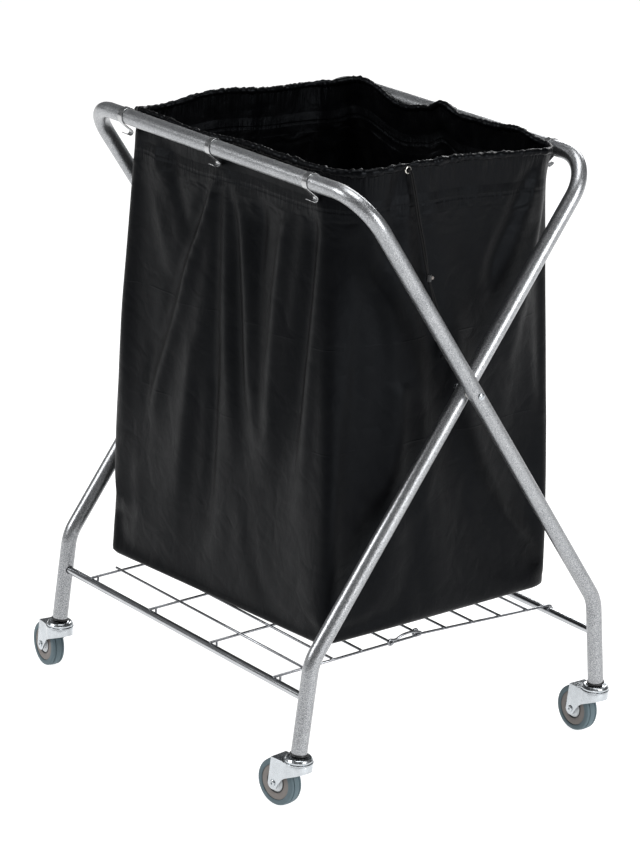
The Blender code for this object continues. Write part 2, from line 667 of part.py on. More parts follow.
def caster_wheel(corner, pivot):
    """Tyre, wheel body and boss turn on the axle together."""
    half = TREAD_WIDTH / 2
    tyre = [(TYRE_INNER_R, half - 0.0010), (WHEEL_R - 0.0040, half), (WHEEL_R - 0.0012, half - 0.0010),
            (WHEEL_R, half - 0.0034), (WHEEL_R, 0.0034 - half), (WHEEL_R - 0.0012, 0.0010 - half),
            (WHEEL_R - 0.0040, -half), (TYRE_INNER_R, 0.0010 - half)]
    facet = turn_about('Z', pi / TURN_STEPS)
    turned(f"{corner}_tyre", tyre, "grey_rubber", pivot, facet)
    outer = TYRE_INNER_R - GAP
    inner = BOSS_R + GAP
    body = [(inner, 0.0085), (outer, 0.0095), (outer, -0.0095), (inner, -0.0085)]
    turned(f"{corner}_wheel_body", body, "taupe_plastic", pivot)
    bore = AXLE_R + GAP
    length = FORK_HALF_WIDTH - FORK_SHEET - 3 * GAP
    boss = [(bore, length), (0.0075, length), (BOSS_R, length - 0.0025), (BOSS_R, 0.0025 - length),
            (0.0075, -length), (bore, -length)]
    turned(f"{corner}_wheel_boss", boss, "light_plastic", pivot, None, SMALL_STEPS)


def caster_axle(name, pivot):
    """A rivet through both cheeks of the fork."""
    face = FORK_HALF_WIDTH + GAP
    dome = dome_profile(0.0056, face + 0.0006, 0.0012, 4)
    profile = dome + [(0.0056, face), (AXLE_R, face), (AXLE_R, -face), (0.0056, -face),
                      (0.0050, -face - 0.0014), (0, -face - 0.0014)]
    turned(name, profile, "zinc", pivot, None, SMALL_STEPS)


def caster(corner, x, side):
    """A stem caster at a leg's end. Its wheel trails behind the swivel axis."""
    foot = (MIDDLE_X + x, side * FOOT_SPREAD, 0)
    stem_socket(f"{corner}_stem_socket", x, side)
    caster_stem(f"{corner}_caster_stem", add_pivot(f"{corner}_stem_place", foot))
    swivel = add_pivot(f"{corner}_swivel", foot, turn=turn_about('Z', CASTER_TURNS[corner]))
    bpy.context.view_layer.update()
    race_dish(f"{corner}_race_dish", swivel)
    bearing_ring(f"{corner}_swivel_bearing", swivel)
    caster_fork(f"{corner}_caster_fork", swivel)
    spin = add_pivot(f"{corner}_spin", (-TRAIL, 0, AXLE_HEIGHT), swivel, turn_about('X', pi / 2))
    caster_axle(f"{corner}_wheel_axle", spin)
    caster_wheel(corner, spin)


# ---------------------------------------------------------------- the whole sorter
clear_scene()
parts = make_collection("laundry_sorter")
cutters = make_collection("cutters")
pivot_axis = add_pivot("pivot_axis", (MIDDLE_X, 0, PIVOT_HEIGHT))
rear_bar_axis = add_pivot("rear_bar_axis", (MIDDLE_X, BAR_SPREAD, BAR_HEIGHT))
hinge_axis = add_pivot("shelf_hinge_axis", (MIDDLE_X, 0, HINGE_HEIGHT))
bpy.context.view_layer.update()

frame_tube("outer_frame", FRAME_HALF_WIDTH, -1, pivot_axis)
frame_tube("inner_frame", INNER_HALF_WIDTH, 1, pivot_axis)
crossbar("rear_crossbar", FRAME_HALF_WIDTH, 1, pivot_axis)
crossbar("front_crossbar", INNER_HALF_WIDTH, -1, pivot_axis)
pivot_hardware("left", -1, pivot_axis)
pivot_hardware("right", 1, pivot_axis)
front_panel(hinge_axis)
rear_panel(rear_bar_axis)
for place, along in BAG_HOOK_PLACES.items():
    bag_hook(f"front_{place}_bag_hook", along, -1)
    bag_hook(f"rear_{place}_bag_hook", along, 1)
laundry_bag(pivot_axis)
drawcord_eyelet(pivot_axis)
drawcord(pivot_axis)
for corner, half_width in (("front", INNER_HALF_WIDTH), ("rear", FRAME_HALF_WIDTH)):
    for hand, sign in (("left", -1), ("right", 1)):
        caster(f"{corner}_{hand}", sign * half_width, -1 if corner == "front" else 1)
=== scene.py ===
# %% [markdown]
# # A laundry sorter on wheels
# Two bent steel tubes cross and fold on a pair of bolts. A black cloth bag hangs between
# their rails on six strip hooks, a wire shelf folds underneath, and four casters carry it.
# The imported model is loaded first: it is the measured skeleton, with the joints' places.
# Everything below is modelled around it, in the same metres, and rides on its bodies.

# %% Load the frame
import json
from math import atan2, cos, exp, hypot, pi, radians, sin, tan

import bmesh
import bpy
import numpy as np
from mathutils import Matrix, Vector, noise

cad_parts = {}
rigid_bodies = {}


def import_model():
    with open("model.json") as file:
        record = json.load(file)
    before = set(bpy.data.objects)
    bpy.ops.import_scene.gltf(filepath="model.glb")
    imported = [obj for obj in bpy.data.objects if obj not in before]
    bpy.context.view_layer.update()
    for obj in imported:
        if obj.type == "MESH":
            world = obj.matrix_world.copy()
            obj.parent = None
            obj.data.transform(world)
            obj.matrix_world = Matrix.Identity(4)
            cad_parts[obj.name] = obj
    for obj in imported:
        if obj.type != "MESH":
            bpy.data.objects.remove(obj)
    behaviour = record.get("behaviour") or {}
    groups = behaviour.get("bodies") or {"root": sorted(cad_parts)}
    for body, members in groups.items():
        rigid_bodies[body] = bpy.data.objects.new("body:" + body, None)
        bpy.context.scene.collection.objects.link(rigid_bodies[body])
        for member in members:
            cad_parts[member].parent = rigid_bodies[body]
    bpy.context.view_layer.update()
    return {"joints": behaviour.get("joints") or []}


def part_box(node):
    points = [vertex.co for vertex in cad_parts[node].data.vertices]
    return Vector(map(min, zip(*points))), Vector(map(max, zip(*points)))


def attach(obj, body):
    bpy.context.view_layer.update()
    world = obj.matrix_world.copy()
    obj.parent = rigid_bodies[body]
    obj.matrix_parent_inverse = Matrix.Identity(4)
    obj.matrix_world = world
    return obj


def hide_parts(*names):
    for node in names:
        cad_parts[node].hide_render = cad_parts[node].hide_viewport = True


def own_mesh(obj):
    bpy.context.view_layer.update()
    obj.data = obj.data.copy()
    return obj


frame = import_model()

joints = {joint["name"]: joint for joint in frame["joints"]}
place_of = {name: Vector(joint["pos_m"]) for name, joint in joints.items() if "pos_m" in joint}
PIVOT = place_of["frame_fold"]
MIDDLE_X = PIVOT.x

# %% [markdown]
# ## Where everything is
# The joints say where the rails, crossbars and wheels are, so no size is written twice.
# An arm is a straight line from the rail's axis through the pivot. A leg is a straight
# line through the foot and the crossbar. The knee is where the two lines meet.

# %% Lines of the frame
TUBE_R = 0.0125
TUBE_WALL = 0.0015
LEG_END = 0.0950
rail = place_of["front_middle_hook_swing"]
RAIL_SPREAD = PIVOT.y - rail.y
RAIL_HEIGHT = rail.z
rear_bar = place_of["rear_shelf_hinge"]
BAR_SPREAD, BAR_HEIGHT = rear_bar.y, rear_bar.z
hinge_wire = place_of["shelf_fold"]
foot = place_of["rear_right_swivel"]
FOOT_SPREAD = foot.y
OUTER_HALF = foot.x - MIDDLE_X
INNER_HALF = place_of["front_right_swivel"].x - MIDDLE_X
arm_slope = RAIL_SPREAD / (RAIL_HEIGHT - PIVOT.z)
leg_slope = (FOOT_SPREAD - BAR_SPREAD) / (BAR_HEIGHT - LEG_END)
knee_drop = (BAR_SPREAD + leg_slope * (BAR_HEIGHT - PIVOT.z)) / (arm_slope - leg_slope)
KNEE_HEIGHT = PIVOT.z - knee_drop
KNEE_SPREAD = arm_slope * knee_drop
print(f"knee {1000 * KNEE_HEIGHT:.0f} mm up, {1000 * KNEE_SPREAD:.0f} mm from the middle")

# %% [markdown]
# ## Camera
# A long lens from a little above, turned well round to the right-hand end, keeps the
# uprights nearly parallel. Its place is given from the pivot, which is the middle of
# the picture. The small roll leans the rails down to the right.

# %% Camera
VIEW_TURN = 0.90283
VIEW_DOWN = 0.31726
VIEW_ROLL = 0.04221
VIEW_FROM = Vector((3.98366, -3.15892, 1.51533))
FOCAL_RATIO = 3369.13 / 640
backwards = Vector((sin(VIEW_TURN) * cos(VIEW_DOWN), -cos(VIEW_TURN) * cos(VIEW_DOWN), sin(VIEW_DOWN)))
level_right = (-backwards).cross(Vector((0, 0, 1))).normalized()
level_up = level_right.cross(-backwards)
right = cos(VIEW_ROLL) * level_right + sin(VIEW_ROLL) * level_up
up = -sin(VIEW_ROLL) * level_right + cos(VIEW_ROLL) * level_up
camera = bpy.data.objects.new("camera", bpy.data.cameras.new("camera"))
bpy.context.scene.collection.objects.link(camera)
facing = Matrix((right, up, backwards)).transposed().to_4x4()
camera.matrix_world = Matrix.Translation(PIVOT + VIEW_FROM) @ facing
camera.data.sensor_fit = 'HORIZONTAL'
camera.data.sensor_width = 36
camera.data.lens = 36 * FOCAL_RATIO
camera.data.clip_end = 60
bpy.context.scene.camera = camera
print(f"lens {camera.data.lens:.0f} mm, {VIEW_FROM.length:.2f} m from the pivot")

# %% [markdown]
# ## Floor and light
# A seamless pale floor runs out past the view. Big soft boxes are what make bent tube
# readable: each one draws a long clean highlight down the tube, and the gaps between
# them draw its dark edges.

# %% Colours and a helper for nodes
def linear(code):
    """An sRGB hex colour as linear RGBA."""
    parts = [int(code[i:i + 2], 16) / 255 for i in (1, 3, 5)]
    return tuple(p / 12.92 if p <= 0.04045 else ((p + 0.055) / 1.055) ** 2.4 for p in parts) + (1.0,)


def node(tree, kind, inputs=None, stops=(), **settings):
    """Adds a node with its settings. An input is a value, or another node's output to link.

    stops are the (position, colour) stops of a colour ramp."""
    made = tree.nodes.new(kind)
    for name, value in settings.items():
        setattr(made, name, value)
    for socket, value in (inputs or {}).items():
        if isinstance(value, bpy.types.NodeSocket):
            tree.links.new(value, made.inputs[socket])
        else:
            made.inputs[socket].default_value = value
    if stops:
        elements = made.color_ramp.elements
        while len(elements) < len(stops):
            elements.new(0.5)
        for element, (position, colour) in zip(elements, stops):
            element.position = position
            element.color = linear(colour)
    return made


def new_material(name, colour, roughness, metallic=0.0, **sockets):
    """A Principled material whose constants are set on the shader's own sockets."""
    material = bpy.data.materials.new(name)
    material.use_nodes = True
    shader = material.node_tree.nodes["Principled BSDF"]
    shader.inputs["Base Color"].default_value = linear(colour)
    shader.inputs["Roughness"].default_value = roughness
    shader.inputs["Metallic"].default_value = metallic
    for socket, value in sockets.items():
        shader.inputs[socket.replace("_", " ")].default_value = value
    return material, material.node_tree, shader


# %% Floor
floor_paint, tree, shader = new_material("pale_studio_floor", "#a4a4a4", 0.7, Emission_Strength=0.93)
shader.inputs["Emission Color"].default_value = linear("#ffffff")
floor_mesh = bpy.data.meshes.new("studio_floor")
bm = bmesh.new()
bmesh.ops.create_grid(bm, x_segments=1, y_segments=1, size=20)
bm.to_mesh(floor_mesh)
bm.free()
floor = bpy.data.objects.new("studio_floor", floor_mesh)
floor_mesh.materials.append(floor_paint)
bpy.context.scene.collection.objects.link(floor)


# %% Soft boxes
def soft_box(name, place, aim, width, height, watts):
    """A rectangular area light that faces a point."""
    light = bpy.data.lights.new(name, 'AREA')
    light.shape = 'RECTANGLE'
    light.size, light.size_y, light.energy = width, height, watts
    lamp = bpy.data.objects.new(name, light)
    bpy.context.scene.collection.objects.link(lamp)
    facing = (Vector(place) - Vector(aim)).to_track_quat('Z', 'Y')
    lamp.matrix_world = Matrix.LocRotScale(Vector(place), facing, None)
    return lamp


AIM = (0.0, 0.0, 0.55)
soft_box("key_left_front", (-1.6, -3.4, 2.6), AIM, 1.5, 1.5, 80)
soft_box("fill_right", (3.6, 0.6, 1.7), AIM, 1.2, 2.2, 95)
soft_box("top", (0.2, 0.1, 3.6), AIM, 2.4, 1.6, 60)
soft_box("back_rim", (-1.8, 3.2, 2.4), AIM, 2.0, 1.2, 60)
world = bpy.data.worlds.new("studio")
world.use_nodes = True
world.node_tree.nodes["Background"].inputs["Color"].default_value = linear("#eef0f2")
world.node_tree.nodes["Background"].inputs["Strength"].default_value = 0.16
bpy.context.scene.world = world
bpy.context.scene.view_settings.view_transform = 'Standard'

# %% [markdown]
# ## Helpers for bent and turned pieces
# Almost everything on this trolley is either a round section that follows a bent line,
# or a profile spun about an axis. A sweep carries a ring of points along a line and
# turns the ring just enough to stay square to it, so a tube never twists at a bend.
# A spin is the lathe. Both give closed skins with real walls.

# %% Path, sweep and spin
def rounded(corners, radii, steps=14):
    """A chain of points through corners, with each inner corner rounded to its radius."""
    points = [Vector(corners[0])]
    for before, corner, after, radius in zip(corners, corners[1:], corners[2:], radii):
        corner = Vector(corner)
        to_before = (Vector(before) - corner).normalized()
        to_after = (Vector(after) - corner).normalized()
        half = to_before.angle(to_after) / 2
        centre = corner + (to_before + to_after).normalized() * radius / sin(half)
        start = corner + to_before * radius / tan(half) - centre
        end = corner + to_after * radius / tan(half) - centre
        swing = start.angle(end)
        for i in range(steps + 1):
            share = i / steps
            spoke = sin((1 - share) * swing) * start + sin(share * swing) * end
            points.append(centre + spoke / sin(swing))
    return points + [Vector(corners[-1])]


def rings_along(path, radius, sides):
    """Rings of points square to a path. radius may be one value or one per point."""
    path = [Vector(p) for p in path]
    radii = radius if hasattr(radius, "__len__") else [radius] * len(path)
    heading = (path[1] - path[0]).normalized()
    across = heading.orthogonal().normalized()
    rings = []
    for i, (point, r) in enumerate(zip(path, radii)):
        ahead = (path[min(i + 1, len(path) - 1)] - path[max(i - 1, 0)]).normalized()
        across = (heading.rotation_difference(ahead) @ across)
        across = (across - ahead * across.dot(ahead)).normalized()
        heading = ahead
        side = ahead.cross(across)
        rings.append([point + r * (cos(t) * across + sin(t) * side)
                      for t in np.linspace(0, 2 * pi, sides, endpoint=False)])
    return rings


def skin(bm, rings, closed=False, caps=True):
    """Joins rings of points with faces. closed joins the last ring to the first."""
    rows = [[bm.verts.new(p) for p in ring] for ring in rings]
    pairs = list(zip(rows, rows[1:])) + ([(rows[-1], rows[0])] if closed else [])
    for a, b in pairs:
        for i in range(len(a)):
            j = (i + 1) % len(a)
            bm.faces.new((a[i], a[j], b[j], b[i]))
    if caps and not closed:
        bm.faces.new(rows[0][::-1])
        bm.faces.new(rows[-1])


def rod(bm, path, radius, sides=16):
    skin(bm, rings_along(path, radius, sides))


def tube(bm, path, radius, wall, sides=40):
    """A pipe with a real wall: its outer skin, then its inner skin back again."""
    outer = rings_along(path, radius, sides)
    inner = rings_along(path, radius - wall, sides)
    skin(bm, outer + inner[::-1], closed=True)


def spin(bm, profile, steps=48, place=Matrix()):
    """Spins (radius, height) points about Z. A profile that starts on the axis ends on it."""
    rings = []
    for r, z in profile:
        r = max(r, 1e-5)
        rings.append([place @ Vector((r * cos(t), r * sin(t), z))
                      for t in np.linspace(0, 2 * pi, steps, endpoint=False)])
    skin(bm, rings, closed=profile[0][0] > 0)


def turn(axis, angle):
    return Matrix.Rotation(angle, 4, axis)


def shift(x, y, z):
    return Matrix.Translation((x, y, z))


def arc(centre, radius, start, sweep, steps=12):
    return [(centre[0] + radius * cos(start + sweep * i / steps),
             centre[1] + radius * sin(start + sweep * i / steps)) for i in range(steps + 1)]


made = []


def piece(name, bm, material, body, slot, *nodes, bevel=0.0, sharp=40):
    """Makes a bmesh a finished piece: its material, shading, body, and the nodes it replaces, which it hides.
    slot is not used.
    """
    bmesh.ops.remove_doubles(bm, verts=bm.verts, dist=2e-6)
    bmesh.ops.recalc_face_normals(bm, faces=bm.faces)
    mesh = bpy.data.meshes.new(name)
    bm.to_mesh(mesh)
    bm.free()
    mesh.materials.append(material)
    mesh.shade_smooth()
    mesh.set_sharp_from_angle(angle=radians(sharp))
    obj = bpy.data.objects.new(name, mesh)
    bpy.context.scene.collection.objects.link(obj)
    if bevel:
        rounding = obj.modifiers.new("edges", 'BEVEL')
        rounding.width = bevel
        rounding.segments = 2
        rounding.limit_method = 'ANGLE'
        rounding.angle_limit = radians(30)
        rounding.harden_normals = False
    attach(obj, body)
    if nodes:
        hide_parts(*nodes)
    made.append(obj)
    return obj


def settle(obj):
    """Applies an object's modifiers to its mesh."""
    graph = bpy.context.evaluated_depsgraph_get()
    mesh = bpy.data.meshes.new_from_object(obj.evaluated_get(graph), preserve_all_data_layers=True,
                                           depsgraph=graph)
    obj.modifiers.clear()
    obj.data = mesh
    return obj


def boolean(obj, bm, operation='DIFFERENCE'):
    """Cuts a bmesh out of an object, or keeps what they share, and applies it."""
    bmesh.ops.recalc_face_normals(bm, faces=bm.faces)
    mesh = bpy.data.meshes.new("tool")
    bm.to_mesh(mesh)
    bm.free()
    tool = bpy.data.objects.new("tool", mesh)
    bpy.context.scene.collection.objects.link(tool)
    modifier = obj.modifiers.new("cut", 'BOOLEAN')
    modifier.operation = operation
    modifier.solver = 'EXACT'
    modifier.object = tool
    tool.parent = obj.parent
    bpy.context.view_layer.update()
    settle(obj)
    bpy.data.objects.remove(tool, do_unlink=True)
    obj.data.shade_smooth()
    obj.data.set_sharp_from_angle(angle=radians(40))
    return obj


# %% [markdown]
# ## Hammertone paint
# The frame is mild steel tube, powder coated in a silver hammertone. While it bakes, the
# paint pulls itself into small domes about 1.5 mm across with finer, brighter flakes
# between them. To the eye that is a grey metal whose long highlights break up into
# sparkling specks. A Voronoi pattern gives the domes, and a fine noise the flakes.

# %% Hammertone material
def hammertone_steel():
    material, tree, shader = new_material("hammertone_powder_coat_steel", "#9b9da0", 0.32, 0.9,
                                          Coat_Weight=0.25, Coat_Roughness=0.16)
    where = node(tree, 'ShaderNodeTexCoord').outputs["Object"]
    domes = node(tree, 'ShaderNodeTexVoronoi', {"Vector": where, "Scale": 1 / 0.0019, "Randomness": 1.0},
                 feature='SMOOTH_F1')
    flakes = node(tree, 'ShaderNodeTexNoise', {"Vector": where, "Scale": 1 / 0.0011, "Detail": 3.0})
    drift = node(tree, 'ShaderNodeTexNoise', {"Vector": where, "Scale": 1 / 0.055, "Detail": 2.0})
    fleck = node(tree, 'ShaderNodeValToRGB', {"Fac": flakes.outputs["Fac"]},
                 stops=((0.36, "#5e6063"), (0.50, "#8e9093"), (0.62, "#dedfe0"))).outputs["Color"]
    patch = node(tree, 'ShaderNodeValToRGB', {"Fac": drift.outputs["Fac"]},
                 stops=((0.3, "#86888b"), (0.7, "#a2a4a7"))).outputs["Color"]
    colour = node(tree, 'ShaderNodeMix', {"Factor": 0.55, "A": patch, "B": fleck}, data_type='RGBA')
    tree.links.new(colour.outputs["Result"], shader.inputs["Base Color"])
    rough = node(tree, 'ShaderNodeMapRange',
                 {"Value": flakes.outputs["Fac"], "From Min": 0.3, "From Max": 0.7,
                  "To Min": 0.24, "To Max": 0.44})
    tree.links.new(rough.outputs["Result"], shader.inputs["Roughness"])
    low = node(tree, 'ShaderNodeBump',
               {"Height": domes.outputs["Distance"], "Distance": 0.0004, "Strength": 0.35})
    fine = node(tree, 'ShaderNodeBump', {"Height": flakes.outputs["Fac"], "Distance": 0.00025,
                                         "Strength": 0.45, "Normal": low.outputs["Normal"]})
    tree.links.new(fine.outputs["Normal"], shader.inputs["Normal"])
    return material


HAMMERTONE = hammertone_steel()


# %% [markdown]
# ## Bright plating
# The crossbars, shelf wire, hooks and caster steel are zinc or nickel plated: a mirror
# that drawing, bending and barrel plating have left slightly streaked and cloudy.

# %% Plated metals
def plated(name, colour, roughness, streak, cloud=0.018):
    """Bright plating: long faint streaks in the roughness and soft clouds in the colour."""
    material, tree, shader = new_material(name, colour, roughness, 1.0)
    where = node(tree, 'ShaderNodeTexCoord').outputs["Object"]
    long = node(tree, 'ShaderNodeMapping', {"Vector": where, "Scale": streak})
    lines = node(tree, 'ShaderNodeTexNoise', {"Vector": long.outputs["Vector"], "Scale": 1.0, "Detail": 3.0})
    clouds = node(tree, 'ShaderNodeTexNoise', {"Vector": where, "Scale": 1 / cloud, "Detail": 4.0})
    rough = node(tree, 'ShaderNodeMapRange', {"Value": lines.outputs["Fac"], "From Min": 0.3, "From Max": 0.7,
                                              "To Min": roughness * 0.6, "To Max": roughness * 1.5})
    tree.links.new(rough.outputs["Result"], shader.inputs["Roughness"])
    dark = tuple(c * 0.72 for c in linear(colour)[:3]) + (1.0,)
    tint = node(tree, 'ShaderNodeMix', {"Factor": clouds.outputs["Fac"], "A": dark, "B": linear(colour)},
                data_type='RGBA')
    tree.links.new(tint.outputs["Result"], shader.inputs["Base Color"])
    bump = node(tree, 'ShaderNodeBump',
                {"Height": lines.outputs["Fac"], "Distance": 0.00005, "Strength": 0.3})
    tree.links.new(bump.outputs["Normal"], shader.inputs["Normal"])
    return material


ALONG_X = (1 / 0.05, 1 / 0.0008, 1 / 0.0008)
EVEN = (1 / 0.004, 1 / 0.004, 1 / 0.004)
PLATED_TUBE = plated("bright_plated_steel_tube", "#c2c4c7", 0.20, ALONG_X)
ZINC_WIRE = plated("bright_zinc_plated_drawn_wire", "#94969a", 0.24, ALONG_X)
ZINC_STEEL = plated("zinc_plated_pressed_steel", "#cdd2d6", 0.24, EVEN)
NICKEL_STRIP = plated("nickel_plated_spring_strip", "#c6c7c8", 0.20, EVEN)

# %% [markdown]
# ## The two frames
# Each frame is one length of tube with six bends: rail, two arms that lean out, and two
# legs. A modeller could bevel a curve, but a swept pipe keeps its real 1.5 mm wall at
# the open leg ends. The crossbars' ends pass through drilled holes in the legs, so the
# holes are cut for real and show as a thin dark ring round each bar.

# %% Frames
CORNER_R = 0.065
KNEE_R = 0.070
BAR_R = 0.00625
BOLT_R = 0.0030
PLAY = 0.0003


def frame_tube(name, half, rail_side, body):
    legs = -rail_side
    run = [(legs * FOOT_SPREAD, LEG_END), (legs * KNEE_SPREAD, KNEE_HEIGHT),
           (rail_side * RAIL_SPREAD, RAIL_HEIGHT)]
    left = [(MIDDLE_X - half, y, z) for y, z in run]
    right = [(MIDDLE_X + half, y, z) for y, z in reversed(run)]
    bm = bmesh.new()
    tube(bm, rounded(left + right, [KNEE_R, CORNER_R, CORNER_R, KNEE_R], 18), TUBE_R, TUBE_WALL, 48)
    obj = piece(name + "_tube", bm, HAMMERTONE, body, "hammertone", name)
    holes = bmesh.new()
    for sign in (-1, 1):
        lie = turn('Y', pi / 2)
        bolt = shift(MIDDLE_X + sign * half, 0, PIVOT.z) @ lie
        spin(holes, [(0, 0.02), (BOLT_R + PLAY, 0.02), (BOLT_R + PLAY, -0.02), (0, -0.02)], 24, bolt)
        bar = shift(MIDDLE_X + sign * (half - TUBE_R), legs * BAR_SPREAD, BAR_HEIGHT) @ lie
        spin(holes, [(0, 0.009), (BAR_R + 0.0006, 0.009), (BAR_R + 0.0006, -0.009), (0, -0.009)], 32, bar)
    return boolean(obj, holes)


frame_tube("outer_frame", OUTER_HALF, -1, "outer_frame")
frame_tube("inner_frame", INNER_HALF, 1, "inner_frame")
print("frame tubes:", [len(o.data.polygons) for o in made], "faces")

# %% [markdown]
# ## Crossbars and pivots
# The crossbars are thin plated tube, swaged slightly smaller where they enter the legs.
# Each pivot is a slotted dome bolt from outside, a nylon washer between the two tubes
# and a cap nut inside. Little of it shows, but it is what the whole trolley turns on.

# %% Crossbars
for name, half, side in (("front_crossbar", INNER_HALF, -1), ("rear_crossbar", OUTER_HALF, 1)):
    reach = half - TUBE_WALL
    neck = half - TUBE_R
    line = [(-reach, BAR_R - 0.0004), (-neck + 0.004, BAR_R - 0.0004), (-neck + 0.012, BAR_R)]
    line += [(-x, r) for x, r in reversed(line)]
    path = [(MIDDLE_X + x, side * BAR_SPREAD, BAR_HEIGHT) for x, r in line]
    bm = bmesh.new()
    outer = rings_along(path, [r for x, r in line], 32)
    inner = rings_along(path, BAR_R - 0.001, 32)
    skin(bm, outer + inner[::-1], closed=True)
    piece(name + "_bar", bm, PLATED_TUBE, "inner_frame" if side < 0 else "outer_frame", "plated_tube", name)

# %% Pivot bolts, washers and nuts
def moulded(name, colour, roughness, grain=0.0006, depth=0.00004, **sockets):
    """Moulded plastic or rubber: the fine, even grain of the mould and a little cloudiness."""
    material, tree, shader = new_material(name, colour, roughness, 0.0, **sockets)
    where = node(tree, 'ShaderNodeTexCoord').outputs["Object"]
    fine = node(tree, 'ShaderNodeTexNoise', {"Vector": where, "Scale": 1 / grain, "Detail": 2.0})
    broad = node(tree, 'ShaderNodeTexNoise', {"Vector": where, "Scale": 1 / 0.012, "Detail": 3.0})
    dark = tuple(c * 0.78 for c in linear(colour)[:3]) + (1.0,)
    tint = node(tree, 'ShaderNodeMix', {"Factor": broad.outputs["Fac"], "A": dark, "B": linear(colour)},
                data_type='RGBA')
    tree.links.new(tint.outputs["Result"], shader.inputs["Base Color"])
    bump = node(tree, 'ShaderNodeBump', {"Height": fine.outputs["Fac"], "Distance": depth, "Strength": 0.5})
    tree.links.new(bump.outputs["Normal"], shader.inputs["Normal"])
    return material


NYLON = moulded("moulded_white_nylon", "#dddcd8", 0.45)
BOLT_HEAD_R = 0.0058
head = OUTER_HALF + TUBE_R + PLAY
inside = INNER_HALF - TUBE_R - PLAY
for hand, sign in (("left", -1), ("right", 1)):
    out = shift(MIDDLE_X, 0, PIVOT.z) @ turn('Y', sign * pi / 2)
    dome = [(BOLT_HEAD_R * sin(a), head + 0.0010 + 0.0024 * cos(a)) for a in np.linspace(0, pi / 2, 9)]
    bm = bmesh.new()
    shank = [(BOLT_HEAD_R, head), (BOLT_R, head), (BOLT_R, inside - 0.005), (0, inside - 0.005)]
    spin(bm, dome + shank, 48, out)
    bolt = piece(f"pivot_bolt_{hand}_piece", bm, ZINC_STEEL, "pivot_bolts", "zinc_steel",
                 f"pivot_bolt_{hand}")
    slot = bmesh.new()
    bmesh.ops.create_cube(slot, size=1.0, matrix=out @ shift(0, 0, head + 0.0034) @ turn('Z', radians(35))
                          @ Matrix.Diagonal((0.0011, 0.02, 0.0026, 1)))
    boolean(bolt, slot)
    bm = bmesh.new()
    high, low, bore = OUTER_HALF - TUBE_R - PLAY, INNER_HALF + TUBE_R + PLAY, BOLT_R + PLAY
    spin(bm, [(bore, high), (0.0090, high), (0.0095, (high + low) / 2), (0.0090, low), (bore, low)], 48, out)
    piece(f"pivot_washer_{hand}_piece", bm, NYLON, "pivot_bolts", "white_nylon", f"pivot_washer_{hand}")
    cap = [(0.0046 * sin(a), inside - 0.0058 - 0.0014 * cos(a)) for a in np.linspace(pi / 2, 0, 6)]
    bm = bmesh.new()
    nut = [(0, inside - 0.0056), (bore, inside - 0.0056), (bore, inside), (0.0052, inside),
           (0.0056, inside - 0.0006), (0.0056, inside - 0.0052)]
    spin(bm, nut + cap, 48, out)
    piece(f"pivot_nut_{hand}_piece", bm, ZINC_STEEL, "pivot_bolts", "zinc_steel", f"pivot_nut_{hand}")
print("pivots done:", len(made), "pieces")

# %% [markdown]
# ## The wire shelf
# Drawn wire 4 mm thick, cut to length and spot welded where it crosses, then zinc plated
# as a whole panel. Two panels meet on a hinge wire in the middle, which stands a little
# proud so the shelf locks over centre. The rear panel's wires loop round that wire and
# hook over the rear crossbar. The front panel's lie on the front crossbar.

# %% Shelf lines
WIRE_R = 0.0020
WELD_STEP = 2 * WIRE_R - 0.0005
LONG_WIRES = 4
ON_BAR = BAR_R + PLAY + WIRE_R
EYE_R = 2 * WIRE_R + 2 * PLAY
low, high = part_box("front_shelf_panel")
SHELF_END = high[0] - MIDDLE_X
EDGE_WIRE = SHELF_END - 0.008
REAR_INBOARD = 0.0060
panel_length = hypot(BAR_SPREAD, hinge_wire.z - BAR_HEIGHT)
panel_slope = atan2(hinge_wire.z - BAR_HEIGHT, BAR_SPREAD)
pitch = (BAR_SPREAD - 0.0508) / LONG_WIRES


def panel_place(side):
    """A panel's own axes: origin on the hinge wire, +Y towards its crossbar, +Z up."""
    place = shift(*hinge_wire)
    return place @ (turn('X', -panel_slope) if side > 0 else turn('Z', pi) @ turn('X', -panel_slope))


def wire(bm, place, path, radius=WIRE_R, sides=16):
    """A bent wire with its cut ends lightly rounded."""
    path = [place @ Vector(p) for p in path]
    tips = []
    for end, inner in ((path[0], path[1]), (path[-1], path[-2])):
        out = (end - inner).normalized()
        tips.append([end, end + out * 0.35 * radius])
    line = [tips[0][1]] + path + [tips[1][1]]
    skin(bm, rings_along(line, [0.6 * radius] + [radius] * len(path) + [0.6 * radius], sides))


def curl(centre, radius, start, sweep, x, steps=14):
    return [(x, y, z) for y, z in arc(centre, radius, start, sweep, steps)]


def smooth(route, count):
    """Points at even steps of a smooth curve through a route's own points."""
    p = [np.array(q, float) for q in route]
    p = [2 * p[0] - p[1]] + p + [2 * p[-1] - p[-2]]
    fine = []
    for a, b, c, d in zip(p, p[1:], p[2:], p[3:]):
        for t in np.linspace(0, 1, 12, endpoint=False):
            fine.append(0.5 * (2 * b + (c - a) * t + (2 * a - 5 * b + 4 * c - d) * t ** 2
                               + (3 * b - a - 3 * c + d) * t ** 3))
    fine = np.array(fine + [p[-2]])
    along = np.concatenate([[0], np.cumsum(np.linalg.norm(np.diff(fine, axis=0), axis=1))])
    at = np.linspace(0, along[-1], count)
    return [tuple(float(np.interp(s, along, fine[:, k])) for k in range(3)) for s in at]


# %% Front panel
def short_line(drop):
    tilt = np.arcsin((ON_BAR + drop) / panel_length)
    return -drop / cos(tilt), float(tilt)


